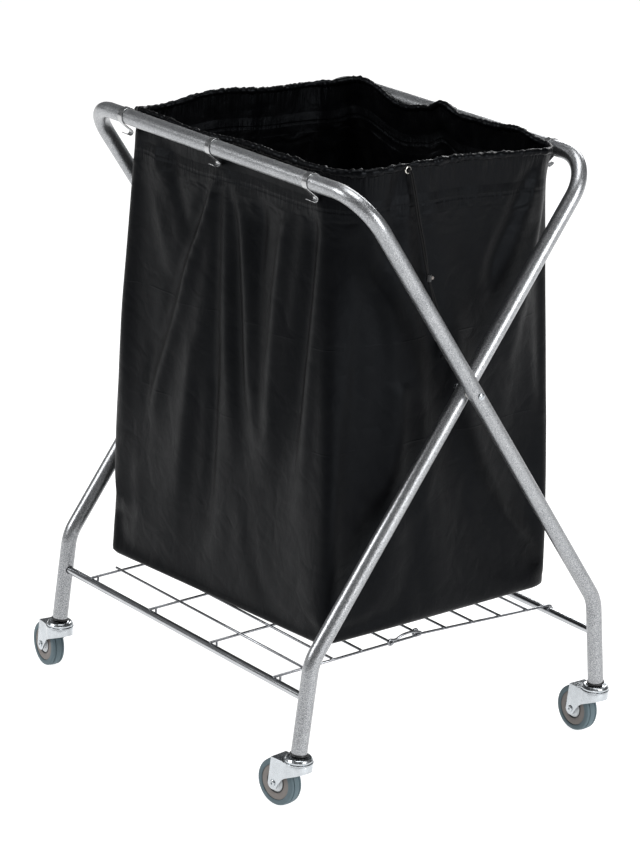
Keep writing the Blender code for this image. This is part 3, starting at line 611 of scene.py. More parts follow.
def long_wires(bm, place, foot, tilt, first_reach):
    """The wires along X. Their right-hand ends stop just past the edge wire."""
    side = 1 if (place @ Vector((1, 0, 0)) - place @ Vector((0, 0, 0))).x > 0 else -1
    for i in range(1, LONG_WIRES + 1):
        y = i * pitch
        z = foot + y * tan(tilt) + WELD_STEP / cos(tilt)
        reach = first_reach if i == 1 else 0.003
        ends = [-side * (EDGE_WIRE + 0.007), side * (EDGE_WIRE + reach)]
        wire(bm, place, [(x, y, z) for x in ends])


def front_shelf():
    place = panel_place(-1)
    foot, tilt = short_line(WELD_STEP)
    bm = bmesh.new()
    end = panel_length + WIRE_R
    for x in (-EDGE_WIRE, -EDGE_WIRE / 3, EDGE_WIRE / 3, EDGE_WIRE):
        wire(bm, place, [(x, -WIRE_R, foot), (x, end, foot + end * tan(tilt))])
        # a short foot under each wire's end keeps the panel from sliding off the crossbar
        y = panel_length - ON_BAR - 0.0022
        z = foot + y * tan(tilt)
        wire(bm, place, [(x, y, z - 0.001), (x, y + 0.0002, z - 0.008), (x, y + 0.0012, z - 0.0105)], 0.0018)
    wire(bm, place, [(-EDGE_WIRE - 0.007, 0, 0), (EDGE_WIRE + 0.007, 0, 0)])
    long_wires(bm, place, foot, tilt, 0.003)
    pin_z = foot + pitch * tan(tilt) + WELD_STEP / cos(tilt)
    for sign in (-1, 1):
        # the locking loop: up over the hinge wire, along to the next wire, and curled under it
        x = sign * (EDGE_WIRE + 2 * WIRE_R - 0.0004)
        route = [(x, -0.0035, 0.0022), (x, 0.004, 0.0050), (x, 0.018, 0.0082), (x, 0.034, 0.0077),
                 (x, 0.046, 0.0040), (x, pitch + 0.0010, pin_z + 0.0042)]
        route = smooth(route, 22)[:-1]
        eye = curl((pitch, pin_z), 0.0043, radians(75), -radians(265), x)
        wire(bm, place, route + eye)
        pin = [sign * (EDGE_WIRE - 0.004), sign * (EDGE_WIRE + 0.0095)]
        wire(bm, place, [(x, pitch, pin_z) for x in pin])
    return piece("front_shelf_wires", bm, ZINC_WIRE, "front_shelf", "zinc_wire", "front_shelf_panel",
                 sharp=60)


# %% Rear panel
def rear_shelf():
    place = panel_place(1)
    foot, tilt = short_line(EYE_R)
    bm = bmesh.new()
    inner, outer = EDGE_WIRE / 3 - REAR_INBOARD, EDGE_WIRE - REAR_INBOARD
    for x in (-outer, -inner, inner, outer):
        hook = curl((panel_length, 0), ON_BAR, pi / 2 + tilt, -radians(150), x)
        eye = curl((0, 0), EYE_R, tilt - pi / 2, -radians(250), x)
        wire(bm, place, hook[::-1] + eye)
    long_wires(bm, place, foot, tilt, 0.003)
    return piece("rear_shelf_wires", bm, ZINC_WIRE, "rear_shelf", "zinc_wire", "rear_shelf_panel", sharp=60)


front_shelf()
rear_shelf()
print(f"shelf: {2 * LONG_WIRES + 1} long wires, {1000 * pitch:.1f} mm apart")

# %% [markdown]
# ## Six strip hooks
# Each hook is a piece of spring strip 11 mm wide, rolled round the rail until it grips,
# bent inwards under it and finished with a small curl that catches the bag's hem. The
# section across the rail is drawn first, as a line of points, and then given width.

# %% Bag hooks
STRIP_WIDTH = 0.0110
STRIP_THICK = 0.0013
STRIP_R = TUBE_R + 0.0004 + STRIP_THICK / 2


def hook_section():
    """The strip's middle line: inwards from the rail's axis, and upwards."""
    start, end = radians(-55), radians(232)
    shank, curl_r, curl_sweep, tip = 0.020, 0.0042, radians(167), 0.011
    line = arc((0, 0), STRIP_R, start, end - start, 34)
    heading = end + pi / 2
    u, w = line[-1]
    line += [(u + shank * s * cos(heading), w + shank * s * sin(heading)) for s in (0.33, 0.66, 1.0)]
    u, w = line[-1]
    centre = (u + curl_r * sin(heading), w - curl_r * cos(heading))
    line += arc(centre, curl_r, heading + pi / 2, -curl_sweep, 14)[1:]
    heading -= curl_sweep
    u, w = line[-1]
    return line + [(u + tip * s * cos(heading), w + tip * s * sin(heading)) for s in (0.5, 1.0)]


def strip_hook(name, body, place, inward):
    """Sweeps a flat section along the hook's line. The last few millimetres are rounded off."""
    line = hook_section()
    bm = bmesh.new()
    rings = []
    for i, (u, w) in enumerate(line):
        before, after = line[max(i - 1, 0)], line[min(i + 1, len(line) - 1)]
        du, dw = after[0] - before[0], after[1] - before[1]
        length = hypot(du, dw)
        out = (-dw / length * STRIP_THICK / 2, du / length * STRIP_THICK / 2)
        half = STRIP_WIDTH / 2 * (0.62 if i in (0, len(line) - 1) else 1.0)
        ring = []
        for x, s in ((-half, -1), (half, -1), (half, 1), (-half, 1)):
            ring.append(place @ Vector((x, inward * (u + s * out[0]), w + s * out[1])))
        rings.append(ring)
    skin(bm, rings)
    return piece(name + "_strip", bm, NICKEL_STRIP, body, "polished_strip", name, bevel=0.00035, sharp=30)


for rail_name, inward in (("front", 1), ("rear", -1)):
    for spot in ("left", "middle", "right"):
        joint = place_of[f"{rail_name}_{spot}_hook_swing"]
        strip_hook(f"{rail_name}_{spot}_bag_hook", f"{rail_name}_{spot}_hook", shift(*joint), inward)
print("hooks:", sum(o.name.endswith("_strip") for o in made))

# %% [markdown]
# ## Casters
# Stem casters with 75 mm wheels. The cup and its stem stay with the leg. Below the ring
# of balls everything swings: a lower race, and a fork pressed from 2 mm sheet whose two
# cheeks narrow to the axle. On the axle turn a soft grey tyre, a taupe wheel body and a
# pale hub. Each wheel trails 38 mm behind its swivel, which is what makes it steer.

# %% Caster materials
BLACK_PLASTIC = moulded("moulded_black_polyethylene", "#17181a", 0.42)
GREY_RUBBER = moulded("grey_thermoplastic_rubber_tread", "#586a71", 0.62, 0.0008, 0.00006)
TAUPE = moulded("taupe_polypropylene_wheel", "#7c7672", 0.55)
PALE_HUB = moulded("pale_acetal_hub", "#dfe3e6", 0.32)

# %% Caster sizes
WHEEL_R = 0.0375
TYRE_INNER_R = 0.0280
HALF_TREAD = 0.0110
TRAIL = 0.0380
FORK_HALF = 0.0160
SHEET = 0.0020
FORK_TOP = 0.0795
RACE_R = 0.0225
CUP_TOP = 0.0900
CUP_DEPTH = 0.0075
STEM_R = 0.0045
KING_PIN_R = 0.0040
AXLE_R = 0.0035
BOSS_R = 0.0160


def prism(outline, low, high, upright=False):
    """An outline in the XY plane, or upright in the XZ plane, pushed out from low to high."""
    bm = bmesh.new()
    ends = [[(a, d, b) if upright else (a, b, d) for a, b in outline] for d in (low, high)]
    skin(bm, ends)
    bmesh.ops.recalc_face_normals(bm, faces=bm.faces)
    return bm


def fork_plan(inset):
    """The fork from above: a round nose under the race, straight sides back past the wheel."""
    nose, half, swing = RACE_R - 0.0010 - inset, FORK_HALF - inset, pi / 2 + 0.45
    tail = -TRAIL - 0.0300
    straight = [(-0.0210, half), (tail, half), (tail, -half), (-0.0210, -half)]
    return arc((0, 0), nose, -swing, 2 * swing, 40) + straight


def cheek_side(axle_height):
    """The fork from the side: straight back edge, round end at the axle, hollow front edge."""
    end = arc((-TRAIL, axle_height), 0.0100, pi + 0.15, pi - 0.35, 20)
    front = smooth([(end[-1][0], end[-1][1], 0), (-0.0215, 0.0450, 0), (-0.0135, 0.0525, 0),
                    (-0.0020, 0.0590, 0), (0.0110, 0.0645, 0), (0.0240, 0.0692, 0)], 20)[1:]
    return [(-TRAIL - 0.0050, FORK_TOP)] + end + [(x, z) for x, z, _ in front] + [(0.0240, FORK_TOP)]


def placed(bm, place):
    bmesh.ops.transform(bm, matrix=place, verts=bm.verts)
    return bm


# %% Fork and wheel
def caster_fork(corner, body, place, axle_height):
    bm = placed(prism(cheek_side(axle_height), -0.03, 0.03, True), place)
    fork = piece(f"{corner}_fork_pressing", bm, ZINC_STEEL, body, "zinc_steel", f"{corner}_caster_fork")
    boolean(fork, placed(prism(fork_plan(0), 0.02, FORK_TOP + 0.001), place), 'INTERSECT')
    boolean(fork, placed(prism(fork_plan(SHEET), 0.01, FORK_TOP - SHEET), place))
    holes = bmesh.new()
    pin, axle = KING_PIN_R + PLAY, AXLE_R + PLAY
    spin(holes, [(0, 0.01), (pin, 0.01), (pin, -0.01), (0, -0.01)], 32, place @ shift(0, 0, FORK_TOP))
    boolean(fork, holes)
    holes = bmesh.new()
    spin(holes, [(0, 0.03), (axle, 0.03), (axle, -0.03), (0, -0.03)], 32,
         place @ shift(-TRAIL, 0, axle_height) @ turn('X', -pi / 2))
    boolean(fork, holes)
    rounding = fork.modifiers.new("pressed_edges", 'BEVEL')
    rounding.width = 0.0006
    rounding.segments = 2
    rounding.limit_method = 'ANGLE'
    rounding.angle_limit = radians(40)
    settle(fork)
    fork.data.shade_smooth()
    fork.data.set_sharp_from_angle(angle=radians(50))


def tyre_profile():
    """Right half of the tyre from its inner edge, over the shoulder, to the middle of the tread."""
    t = HALF_TREAD
    bead = [(TYRE_INNER_R, t - 0.0008), (TYRE_INNER_R + 0.0006, t - 0.0002), (0.0300, t)]
    shoulder = [(0.0340, t - 0.0002), (0.0358, t - 0.0010), (0.0366, t - 0.0022), (0.0370, 0.0074)]
    groove = [(0.0369, 0.0067), (0.0358, 0.0062), (0.0355, 0.0056), (0.0358, 0.0050), (0.0371, 0.0045)]
    half = bead + shoulder + groove + [(0.0374, 0.0038), (WHEEL_R, 0.0014)]
    return half + [(r, -z) for r, z in reversed(half)]


def caster_wheel(corner, body, place):
    bm = bmesh.new()
    spin(bm, tyre_profile(), 96, place)
    piece(f"{corner}_tyre_tread", bm, GREY_RUBBER, body, "grey_rubber", f"{corner}_tyre")
    outer, inner = TYRE_INNER_R - PLAY, BOSS_R + PLAY
    disc = [(inner, 0.0088), (inner + 0.0012, 0.0094), (0.0205, 0.0099), (0.0262, 0.0100), (outer, 0.0096)]
    bm = bmesh.new()
    spin(bm, disc + [(r, -z) for r, z in reversed(disc)], 96, place)
    piece(f"{corner}_wheel_disc", bm, TAUPE, body, "taupe_plastic", f"{corner}_wheel_body")
    length = FORK_HALF - SHEET - 3 * PLAY
    hub = [(AXLE_R + PLAY, length), (0.0068, length), (0.0075, length - 0.0006), (0.0078, length - 0.0030),
           (0.0122, length - 0.0034), (0.0150, length - 0.0042), (BOSS_R, length - 0.0056)]
    bm = bmesh.new()
    spin(bm, hub + [(r, -z) for r, z in reversed(hub)], 64, place)
    piece(f"{corner}_wheel_hub", bm, PALE_HUB, body, "light_plastic", f"{corner}_wheel_boss")
    ring = arc((BOSS_R + 0.0006, 0.0093), 0.0009, 0, 2 * pi, 10)[:-1]
    bm = bmesh.new()
    spin(bm, ring, 64, place)
    spin(bm, [(r, -z) for r, z in ring], 64, place)
    piece(f"{corner}_dust_rings", bm, BLACK_PLASTIC, body, "black_plastic")


def caster_rivet(corner, body, place):
    """The axle: a tubular rivet with one domed head and one rolled, hollow end."""
    face = FORK_HALF + PLAY
    dome = [(0.0052 * sin(a), face + 0.0004 + 0.0014 * cos(a)) for a in np.linspace(0.35, pi / 2, 6)]
    open_end = [(0, face - 0.0010), (0.0019, face - 0.0008), (0.0019, face + 0.0013)]
    rolled = [(0.0052, -face), (0.0049, -face - 0.0012), (0.0030, -face - 0.0014), (0.0024, -face - 0.0004),
              (0, -face - 0.0003)]
    bm = bmesh.new()
    spin(bm, open_end + dome + [(0.0052, face), (AXLE_R, face), (AXLE_R, -face)] + rolled, 48, place)
    piece(f"{corner}_axle_rivet", bm, ZINC_STEEL, body, "zinc_steel", f"{corner}_wheel_axle")


# %% Stem, races and socket
def caster_head(corner, leg_body, fork_body, swivel, side):
    place = shift(swivel.x, swivel.y, 0)
    rim, foot, under = RACE_R - 0.0010, CUP_TOP - CUP_DEPTH, CUP_TOP - 0.0030
    bm = bmesh.new()
    plate = FORK_TOP - SHEET
    stem = [(0, 0.1180), (STEM_R - 0.0008, 0.1180), (STEM_R, 0.1168), (STEM_R, CUP_TOP + 0.0004)]
    bead = [(0.0118, CUP_TOP + 0.0004), (0.0135, CUP_TOP - 0.0002), (0.0146, CUP_TOP - 0.0010),
            (0.0152, CUP_TOP - 0.0010), (0.0172, CUP_TOP - 0.0002), (0.0186, CUP_TOP - 0.0005),
            (0.0200, CUP_TOP - 0.0018), (0.0206, CUP_TOP - 0.0036)]
    skirt = [(rim, CUP_TOP - 0.0044), (rim, foot + 0.0008), (rim - 0.0006, foot), (rim - 0.0018, foot),
             (rim - 0.0024, under - 0.0015), (0.0130, under)]
    king_pin = [(KING_PIN_R, under), (KING_PIN_R, plate - PLAY), (KING_PIN_R + 0.0022, plate - PLAY),
                (KING_PIN_R + 0.0016, plate - 0.0018), (0, plate - 0.0018)]
    spin(bm, stem + bead + skirt + king_pin, 64, place)
    piece(f"{corner}_cup_and_stem", bm, ZINC_STEEL, leg_body, "zinc_steel", f"{corner}_caster_stem")
    top, bottom, bore = foot - PLAY, FORK_TOP + PLAY, KING_PIN_R + PLAY
    bm = bmesh.new()
    spin(bm, [(bore, top), (RACE_R - 0.0006, top), (RACE_R, top - 0.0006), (RACE_R, bottom + 0.0006),
              (RACE_R - 0.0008, bottom), (bore, bottom)], 64, place)
    piece(f"{corner}_lower_race", bm, ZINC_STEEL, fork_body, "zinc_steel", f"{corner}_race_dish")
    bm = bmesh.new()
    balls = 22
    for i in range(balls):
        at = place @ turn('Z', 2 * pi * i / balls) @ shift(0.0155, 0, CUP_TOP - CUP_DEPTH + 0.0014)
        bmesh.ops.create_uvsphere(bm, u_segments=12, v_segments=8, radius=0.0014, matrix=at)
    piece(f"{corner}_ball_ring", bm, ZINC_STEEL, fork_body, "zinc_steel", f"{corner}_swivel_bearing")
    lean = side * atan2(leg_slope, 1)
    plug = TUBE_R - TUBE_WALL - 2 * PLAY
    bore, low_end = 0.0082, -PLAY - 0.0025
    bm = bmesh.new()
    spin(bm, [(bore, 0.0300), (plug, 0.0300), (plug, -PLAY), (0.0138, -PLAY), (0.0142, -PLAY - 0.0005),
              (0.0142, low_end + 0.0006), (0.0136, low_end), (bore, low_end)], 48,
         shift(swivel.x, swivel.y, LEG_END) @ turn('X', lean))
    piece(f"{corner}_socket_insert", bm, BLACK_PLASTIC, leg_body, "black_plastic", f"{corner}_stem_socket")


# %% Four casters
for corner in ("front_left", "front_right", "rear_left", "rear_right"):
    swivel, axle = place_of[f"{corner}_swivel"], place_of[f"{corner}_roll"]
    leg_body = "inner_frame" if corner.startswith("front") else "outer_frame"
    turned = atan2(swivel.y - axle.y, swivel.x - axle.x)
    fork_place = shift(swivel.x, swivel.y, 0) @ turn('Z', turned)
    wheel_place = fork_place @ shift(-TRAIL, 0, axle.z) @ turn('X', pi / 2)
    caster_head(corner, leg_body, f"{corner}_fork", swivel, -1 if corner.startswith("front") else 1)
    caster_fork(corner, f"{corner}_fork", fork_place, axle.z)
    caster_rivet(corner, f"{corner}_fork", wheel_place)
    caster_wheel(corner, f"{corner}_wheel", wheel_place)
    print(f"{corner}: turned {turned * 180 / pi:.0f} degrees, axle {1000 * axle.z:.1f} mm up")

# %% [markdown]
# ## Nylon cloth
# The bag is coated nylon taffeta. What shows is its sheen: a nearly black cloth whose
# folds catch pale, bluish light. Its fine surface comes from the cut's own measure,
# metres round the bag and metres below the rim: the weave, the lines it was packed
# along, the rows of stitches, and the puckers the drawcord gathers.

# %% Nylon
HEM_DEPTH = 0.062


def band(tree, value, middle, half):
    """1 on the line where the value is middle, falling to 0 half a width away."""
    away = node(tree, 'ShaderNodeMath', {0: value, 1: middle}, operation='SUBTRACT')
    away = node(tree, 'ShaderNodeMath', {0: away.outputs[0]}, operation='ABSOLUTE')
    return node(tree, 'ShaderNodeMapRange', {"Value": away.outputs[0], "From Min": half, "From Max": 0.0},
                clamp=True).outputs["Result"]


def nylon_taffeta():
    material, tree, shader = new_material("coated_black_nylon_taffeta", "#040405", 0.34, 0.0,
                                          Specular_IOR_Level=0.08, Specular_Tint=linear("#dfe8f2"))
    cut = node(tree, 'ShaderNodeUVMap', uv_map="cut").outputs["UV"]
    where = node(tree, 'ShaderNodeTexCoord').outputs["Object"]
    axes = node(tree, 'ShaderNodeSeparateXYZ', {"Vector": cut})
    around, below = axes.outputs["X"], axes.outputs["Y"]

    # yarns 0.7 mm apart both ways, a little coarser than real taffeta so that they hold in a picture
    yarn = 0.314 / 0.0007
    warp, weft = (node(tree, 'ShaderNodeTexWave', {"Vector": cut, "Scale": yarn, "Distortion": 0.4},
                       bands_direction=way).outputs["Fac"] for way in 'XY')
    weave = node(tree, 'ShaderNodeMath', {0: warp, 1: weft}, operation='ADD').outputs[0]

    # soft dents 35 mm across, faint crumple lines 85 mm apart, and two fold lines from the packing
    drape = node(tree, 'ShaderNodeTexNoise',
                 {"Vector": where, "Scale": 1 / 0.035, "Detail": 3.0, "Distortion": 0.6}).outputs["Fac"]
    crumple = node(tree, 'ShaderNodeTexVoronoi', {"Vector": where, "Scale": 1 / 0.085},
                   feature='DISTANCE_TO_EDGE').outputs["Distance"]
    crumple = node(tree, 'ShaderNodeMapRange', {"Value": crumple, "From Max": 0.10}).outputs["Result"]
    packed = node(tree, 'ShaderNodeMath', {0: band(tree, below, 0.27, 0.0018),
                                           1: band(tree, below, 0.43, 0.0018)}, operation='MAXIMUM')
    worn = node(tree, 'ShaderNodeTexNoise', {"Vector": where, "Scale": 1 / 0.05, "Detail": 1.0})
    worn = node(tree, 'ShaderNodeValToRGB', {"Fac": worn.outputs["Fac"]},
                stops=((0.42, "#000000"), (0.58, "#ffffff")))
    packed = node(tree, 'ShaderNodeMath', {0: packed.outputs[0], 1: worn.outputs["Color"]},
                  operation='MULTIPLY').outputs[0]

    # short pleats run down from the gathered rim, and again either side of the hem's stitches
    long = node(tree, 'ShaderNodeMapping', {"Vector": cut, "Scale": (1 / 0.0075, 1 / 0.060, 1.0)})
    pleats = node(tree, 'ShaderNodeTexNoise', {"Vector": long.outputs["Vector"], "Scale": 1.0, "Detail": 2.0})
    near_rim = node(tree, 'ShaderNodeMapRange', {"Value": below, "From Min": 0.045, "From Max": 0.002},
                    clamp=True).outputs["Result"]
    near_hem = node(tree, 'ShaderNodeMath', {0: band(tree, below, HEM_DEPTH, 0.016), 1: 0.6},
                    operation='MULTIPLY').outputs[0]
    near = node(tree, 'ShaderNodeMath', {0: near_rim, 1: near_hem}, operation='MAXIMUM').outputs[0]
    gathered = node(tree, 'ShaderNodeMath', {0: pleats.outputs["Fac"], 1: near},
                    operation='MULTIPLY').outputs[0]

    # under the hem the spare cloth buckles in short waves
    buckle = node(tree, 'ShaderNodeMapping', {"Vector": cut, "Scale": (1 / 0.040, 1 / 0.024, 1.0)})
    buckle = node(tree, 'ShaderNodeTexNoise',
                  {"Vector": buckle.outputs["Vector"], "Scale": 1.0, "Detail": 1.0, "Distortion": 0.8})
    under_hem = node(tree, 'ShaderNodeMath',
                     {0: buckle.outputs["Fac"], 1: band(tree, below, HEM_DEPTH + 0.018, 0.034)},
                     operation='MULTIPLY').outputs[0]

    # stitches 3 mm long with 1 mm between, in a row round the hem
    dash = node(tree, 'ShaderNodeMath', {0: around, 1: 0.004}, operation='MODULO').outputs[0]
    dash = node(tree, 'ShaderNodeMath', {0: dash, 1: 0.003}, operation='LESS_THAN').outputs[0]
    thread = node(tree, 'ShaderNodeMath', {0: dash, 1: band(tree, below, HEM_DEPTH, 0.0009)},
                  operation='MULTIPLY').outputs[0]
    groove = band(tree, below, HEM_DEPTH, 0.0035)

    tint = node(tree, 'ShaderNodeValToRGB', {"Fac": drape}, stops=((0.35, "#030304"), (0.7, "#060607")))
    tint = node(tree, 'ShaderNodeMix', {"Factor": thread, "A": tint.outputs["Color"], "B": linear("#0c0d0f")},
                data_type='RGBA')
    tree.links.new(tint.outputs["Result"], shader.inputs["Base Color"])
    rough = node(tree, 'ShaderNodeMapRange',
                 {"Value": drape, "From Min": 0.3, "From Max": 0.7, "To Min": 0.30, "To Max": 0.42})
    tree.links.new(rough.outputs["Result"], shader.inputs["Roughness"])
    # the depth of each relief in metres: a groove is sunk, everything else is raised
    reliefs = ((drape, 0.0022), (crumple, 0.0003), (packed, 0.0005), (gathered, 0.0055),
               (under_hem, 0.005), (groove, -0.0012), (thread, 0.0004), (weave, 0.00005))
    normal = None
    for height, depth in reliefs:
        inputs = {"Height": height, "Distance": abs(depth), "Strength": 0.8}
        if normal:
            inputs["Normal"] = normal
        normal = node(tree, 'ShaderNodeBump', inputs, invert=depth < 0).outputs["Normal"]
    tree.links.new(normal, shader.inputs["Normal"])
    return material


TAFFETA = nylon_taffeta()

# %% [markdown]
# ## The bag
# The walls are one strip of cloth sewn to a rectangular base. It is laid out as rows and
# columns about 12 mm apart. Each row is a rounded rectangle: sharp corners at the base
# seam, and wide ones at the rim, where the drawcord gathers the cloth. The rim rises to
# each hook and dips between. The long creases that run down from the hooks are drawn as
# lines and raised or sunk. A short cloth simulation with slightly too much cloth then
# adds the slack, held at the hooks and at the base seam.

# %% Bag outline
low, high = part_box("laundry_bag")
BAG_HALF_WIDTH = (high[0] - low[0]) / 2
BASE_HALF_DEPTH = 0.220
TOP_HALF_DEPTH = 0.2125
BAG_BASE = low[2]
EYELET_Y, EYELET_Z = -0.100, 0.964
COLUMNS, ROWS = 176, 60
HOOKS_X = [place_of[f"front_{spot}_hook_swing"].x - MIDDLE_X for spot in ("left", "middle", "right")]
HOLD_HEIGHT = RAIL_HEIGHT - 0.0265


def ease(low, high, value):
    t = np.clip((value - low) / (high - low), 0, 1)
    return t * t * (3 - 2 * t)


def outline(half_w, half_d, r, share):
    """A point and its outward direction, a share of the way round from the middle of the front."""
    sides = [(half_w - r, 'front'), (pi * r / 2, -pi / 2), (2 * (half_d - r), 'right'), (pi * r / 2, 0.0),
             (2 * (half_w - r), 'back'), (pi * r / 2, pi / 2), (2 * (half_d - r), 'left'), (pi * r / 2, pi),
             (half_w - r, 'front again')]
    left = share * sum(length for length, _ in sides)
    for length, kind in sides:
        if left <= length or kind == 'front again':
            break
        left -= length
    w, d = half_w - r, half_d - r
    if kind == 'front':
        return (left, -half_d), (0, -1)
    if kind == 'right':
        return (half_w, -d + left), (1, 0)
    if kind == 'back':
        return (w - left, half_d), (0, 1)
    if kind == 'left':
        return (-half_w, d - left), (-1, 0)
    if kind == 'front again':
        return (-w + left, -half_d), (0, -1)
    a = kind + left / r
    middle = {-pi / 2: (w, -d), 0.0: (w, d), pi / 2: (-w, d), pi: (-w, -d)}[kind]
    return (middle[0] + r * cos(a), middle[1] + r * sin(a)), (cos(a), sin(a))


def along_wall(wall, place):
    """The share of the way round for a place along one wall, corners taken as square."""
    w, d = BAG_HALF_WIDTH, TOP_HALF_DEPTH
    start = {"front": place, "right": w + d + place,
             "back": 2 * w + 2 * d - place, "left": 3 * w + 3 * d - place}
    return (start[wall] / (4 * w + 4 * d)) % 1.0


# %% Rim heights
# where the rim rises and dips: wall, place along it, height
RIM = [("front", -0.213, 0.9600), ("front", -0.093, 0.9560), ("front", 0.073, 0.9670),
       ("front", 0.172, 0.9660), ("front", 0.244, 0.9680), ("right", -0.150, 0.9710),
       ("right", -0.100, 0.9725), ("right", 0.000, 0.9740), ("right", 0.150, 0.9680),
       ("back", 0.241, 0.9590), ("back", 0.179, 0.9680), ("back", 0.120, 0.9620),
       ("back", 0.035, 0.9600), ("back", -0.015, 0.9720),
       ("back", -0.050, 0.9560),
       ("back", -0.114, 0.9460), ("back", -0.227, 0.9690), ("left", 0.200, 0.9570), ("left", 0.100, 0.9560),
       ("left", -0.030, 0.9640), ("left", -0.156, 0.9500)]
rim_line = sorted((along_wall(wall, place), z) for wall, place, z in RIM)
rim_line = [(rim_line[-1][0] - 1, rim_line[-1][1])] + rim_line + [(rim_line[0][0] + 1, rim_line[0][1])]


def rim_height(share):
    """The rim's height, eased from each point of the table to the next."""
    for (a, low), (b, high) in zip(rim_line, rim_line[1:]):
        if a <= share <= b:
            return low + (high - low) * float(ease(a, b, share))
    return rim_line[0][1]


# %% Creases
# wall, points down the crease (place along the wall, height), rise, width at the top and at the foot
CREASES = [
    ("front", [(-0.014, 0.915), (-0.083, 0.738), (-0.138, 0.587), (-0.225, 0.371)], 0.011, 0.007, 0.020),
    ("front", [(-0.040, 0.905), (-0.118, 0.738), (-0.172, 0.587), (-0.252, 0.371)], -0.008, 0.012, 0.026),
    ("front", [(0.002, 0.905), (0.026, 0.849), (0.038, 0.719), (0.046, 0.420)], -0.009, 0.007, 0.018),
    ("front", [(0.020, 0.900), (0.050, 0.820), (0.066, 0.700), (0.075, 0.450)], 0.006, 0.010, 0.022),
    ("front", [(0.085, 0.900), (0.085, 0.760), (0.096, 0.600), (0.105, 0.400)], -0.009, 0.012, 0.022),
    ("front", [(0.160, 0.900), (0.135, 0.762), (0.128, 0.600), (0.120, 0.380)], 0.010, 0.016, 0.026),
    ("front", [(0.212, 0.908), (0.205, 0.767), (0.190, 0.611), (0.205, 0.380)], -0.012, 0.012, 0.024),
    ("front", [(-0.150, 0.925), (-0.138, 0.870), (-0.112, 0.825), (-0.092, 0.770)], -0.007, 0.008, 0.014),
    ("front", [(-0.185, 0.920), (-0.176, 0.850), (-0.162, 0.780), (-0.150, 0.700)], 0.007, 0.014, 0.024),
    ("front", [(-0.236, 0.915), (-0.238, 0.800), (-0.250, 0.650), (-0.258, 0.450)], 0.007, 0.012, 0.024),
    ("front", [(-0.070, 0.640), (-0.082, 0.520), (-0.095, 0.400), (-0.100, 0.300)], 0.006, 0.016, 0.022),
    ("front", [(-0.020, 0.600), (-0.026, 0.480), (-0.030, 0.380), (-0.034, 0.300)], -0.005, 0.014, 0.020),
    ("right", [(-0.215, 0.916), (-0.167, 0.823), (-0.096, 0.719), (-0.025, 0.642)], 0.007, 0.006, 0.010),
    ("right", [(-0.185, 0.900), (-0.105, 0.770), (-0.060, 0.705), (-0.010, 0.640)], 0.005, 0.004, 0.007),
    ("right", [(-0.200, 0.880), (-0.150, 0.760), (-0.110, 0.650), (-0.080, 0.560)], -0.006, 0.012, 0.020),
    ("right", [(-0.118, 0.962), (-0.116, 0.940), (-0.112, 0.925), (-0.108, 0.910)], -0.007, 0.004, 0.004),
    ("right", [(-0.068, 0.962), (-0.068, 0.940), (-0.066, 0.925), (-0.064, 0.908)], 0.004, 0.003, 0.003),
    ("right", [(0.155, 0.955), (0.118, 0.880), (0.084, 0.812), (0.060, 0.720)], -0.009, 0.014, 0.022),
    ("right", [(0.190, 0.910), (0.160, 0.780), (0.140, 0.640), (0.150, 0.480)], 0.006, 0.016, 0.026),
    ("right", [(0.050, 0.480), (0.072, 0.454), (0.140, 0.380), (0.201, 0.303)], 0.005, 0.004, 0.006),
    ("right", [(0.052, 0.470), (0.049, 0.445), (0.036, 0.400), (0.028, 0.370)], -0.004, 0.004, 0.006),
    ("right", [(-0.020, 0.500), (-0.056, 0.427), (-0.090, 0.405), (-0.130, 0.365)], 0.004, 0.004, 0.008),
    ("right", [(-0.006, 0.880), (-0.004, 0.700), (-0.002, 0.500), (0.000, 0.300)], -0.003, 0.003, 0.003),
    ("back", [(-0.014, 0.915), (0.050, 0.740), (0.105, 0.580), (0.180, 0.380)], 0.010, 0.008, 0.020),
    ("back", [(-0.030, 0.905), (-0.060, 0.760), (-0.075, 0.600), (-0.090, 0.420)], -0.008, 0.010, 0.022),
    ("back", [(0.200, 0.905), (0.160, 0.780), (0.140, 0.620), (0.130, 0.450)], -0.008, 0.012, 0.022),
    ("back", [(-0.215, 0.905), (-0.170, 0.760), (-0.150, 0.600), (-0.160, 0.420)], 0.008, 0.014, 0.024),
    ("left", [(0.190, 0.920), (0.120, 0.760), (0.070, 0.620), (0.020, 0.500)], 0.007, 0.006, 0.014),
    ("left", [(-0.170, 0.915), (-0.110, 0.780), (-0.080, 0.640), (-0.060, 0.500)], -0.007, 0.010, 0.020),
    ("left", [(-0.020, 0.880), (0.000, 0.700), (-0.010, 0.520), (0.010, 0.360)], 0.005, 0.014, 0.024),
]


def crease_rise(wall, place, z):
    rise = 0.0
    for side, points, height, top, foot in CREASES:
        heights = [p[1] for p in points][::-1]
        if side != wall or not heights[0] - 0.02 < z < heights[-1] + 0.02:
            continue
        line = np.interp(z, heights, [p[0] for p in points][::-1])
        down = (heights[-1] - z) / (heights[-1] - heights[0])
        width = top + (foot - top) * np.clip(down, 0, 1)
        fade = ease(-0.03, 0.10, down) * (1 - ease(0.55, 1.02, down))
        rise += 1.5 * height * fade / (1 + ((place - line) / width) ** 2)
    return float(rise)


# %% One point of the walls
CORNER_AT_BASE, CORNER_AT_RIM = 0.012, 0.064
HOOK_PULL = 0.2195
BASE_SET_BACK = 0.009
WAVES = ((34, 3.2, 1.7, 0.0035), (80, 6, 5.1, 0.0015))


def base_height(x, y):
    """The base hangs a little higher at the right and the rear, as its shelf does not press on it."""
    return BAG_BASE - 0.004 + 0.013 * x / BAG_HALF_WIDTH + 0.006 * y / BASE_HALF_DEPTH


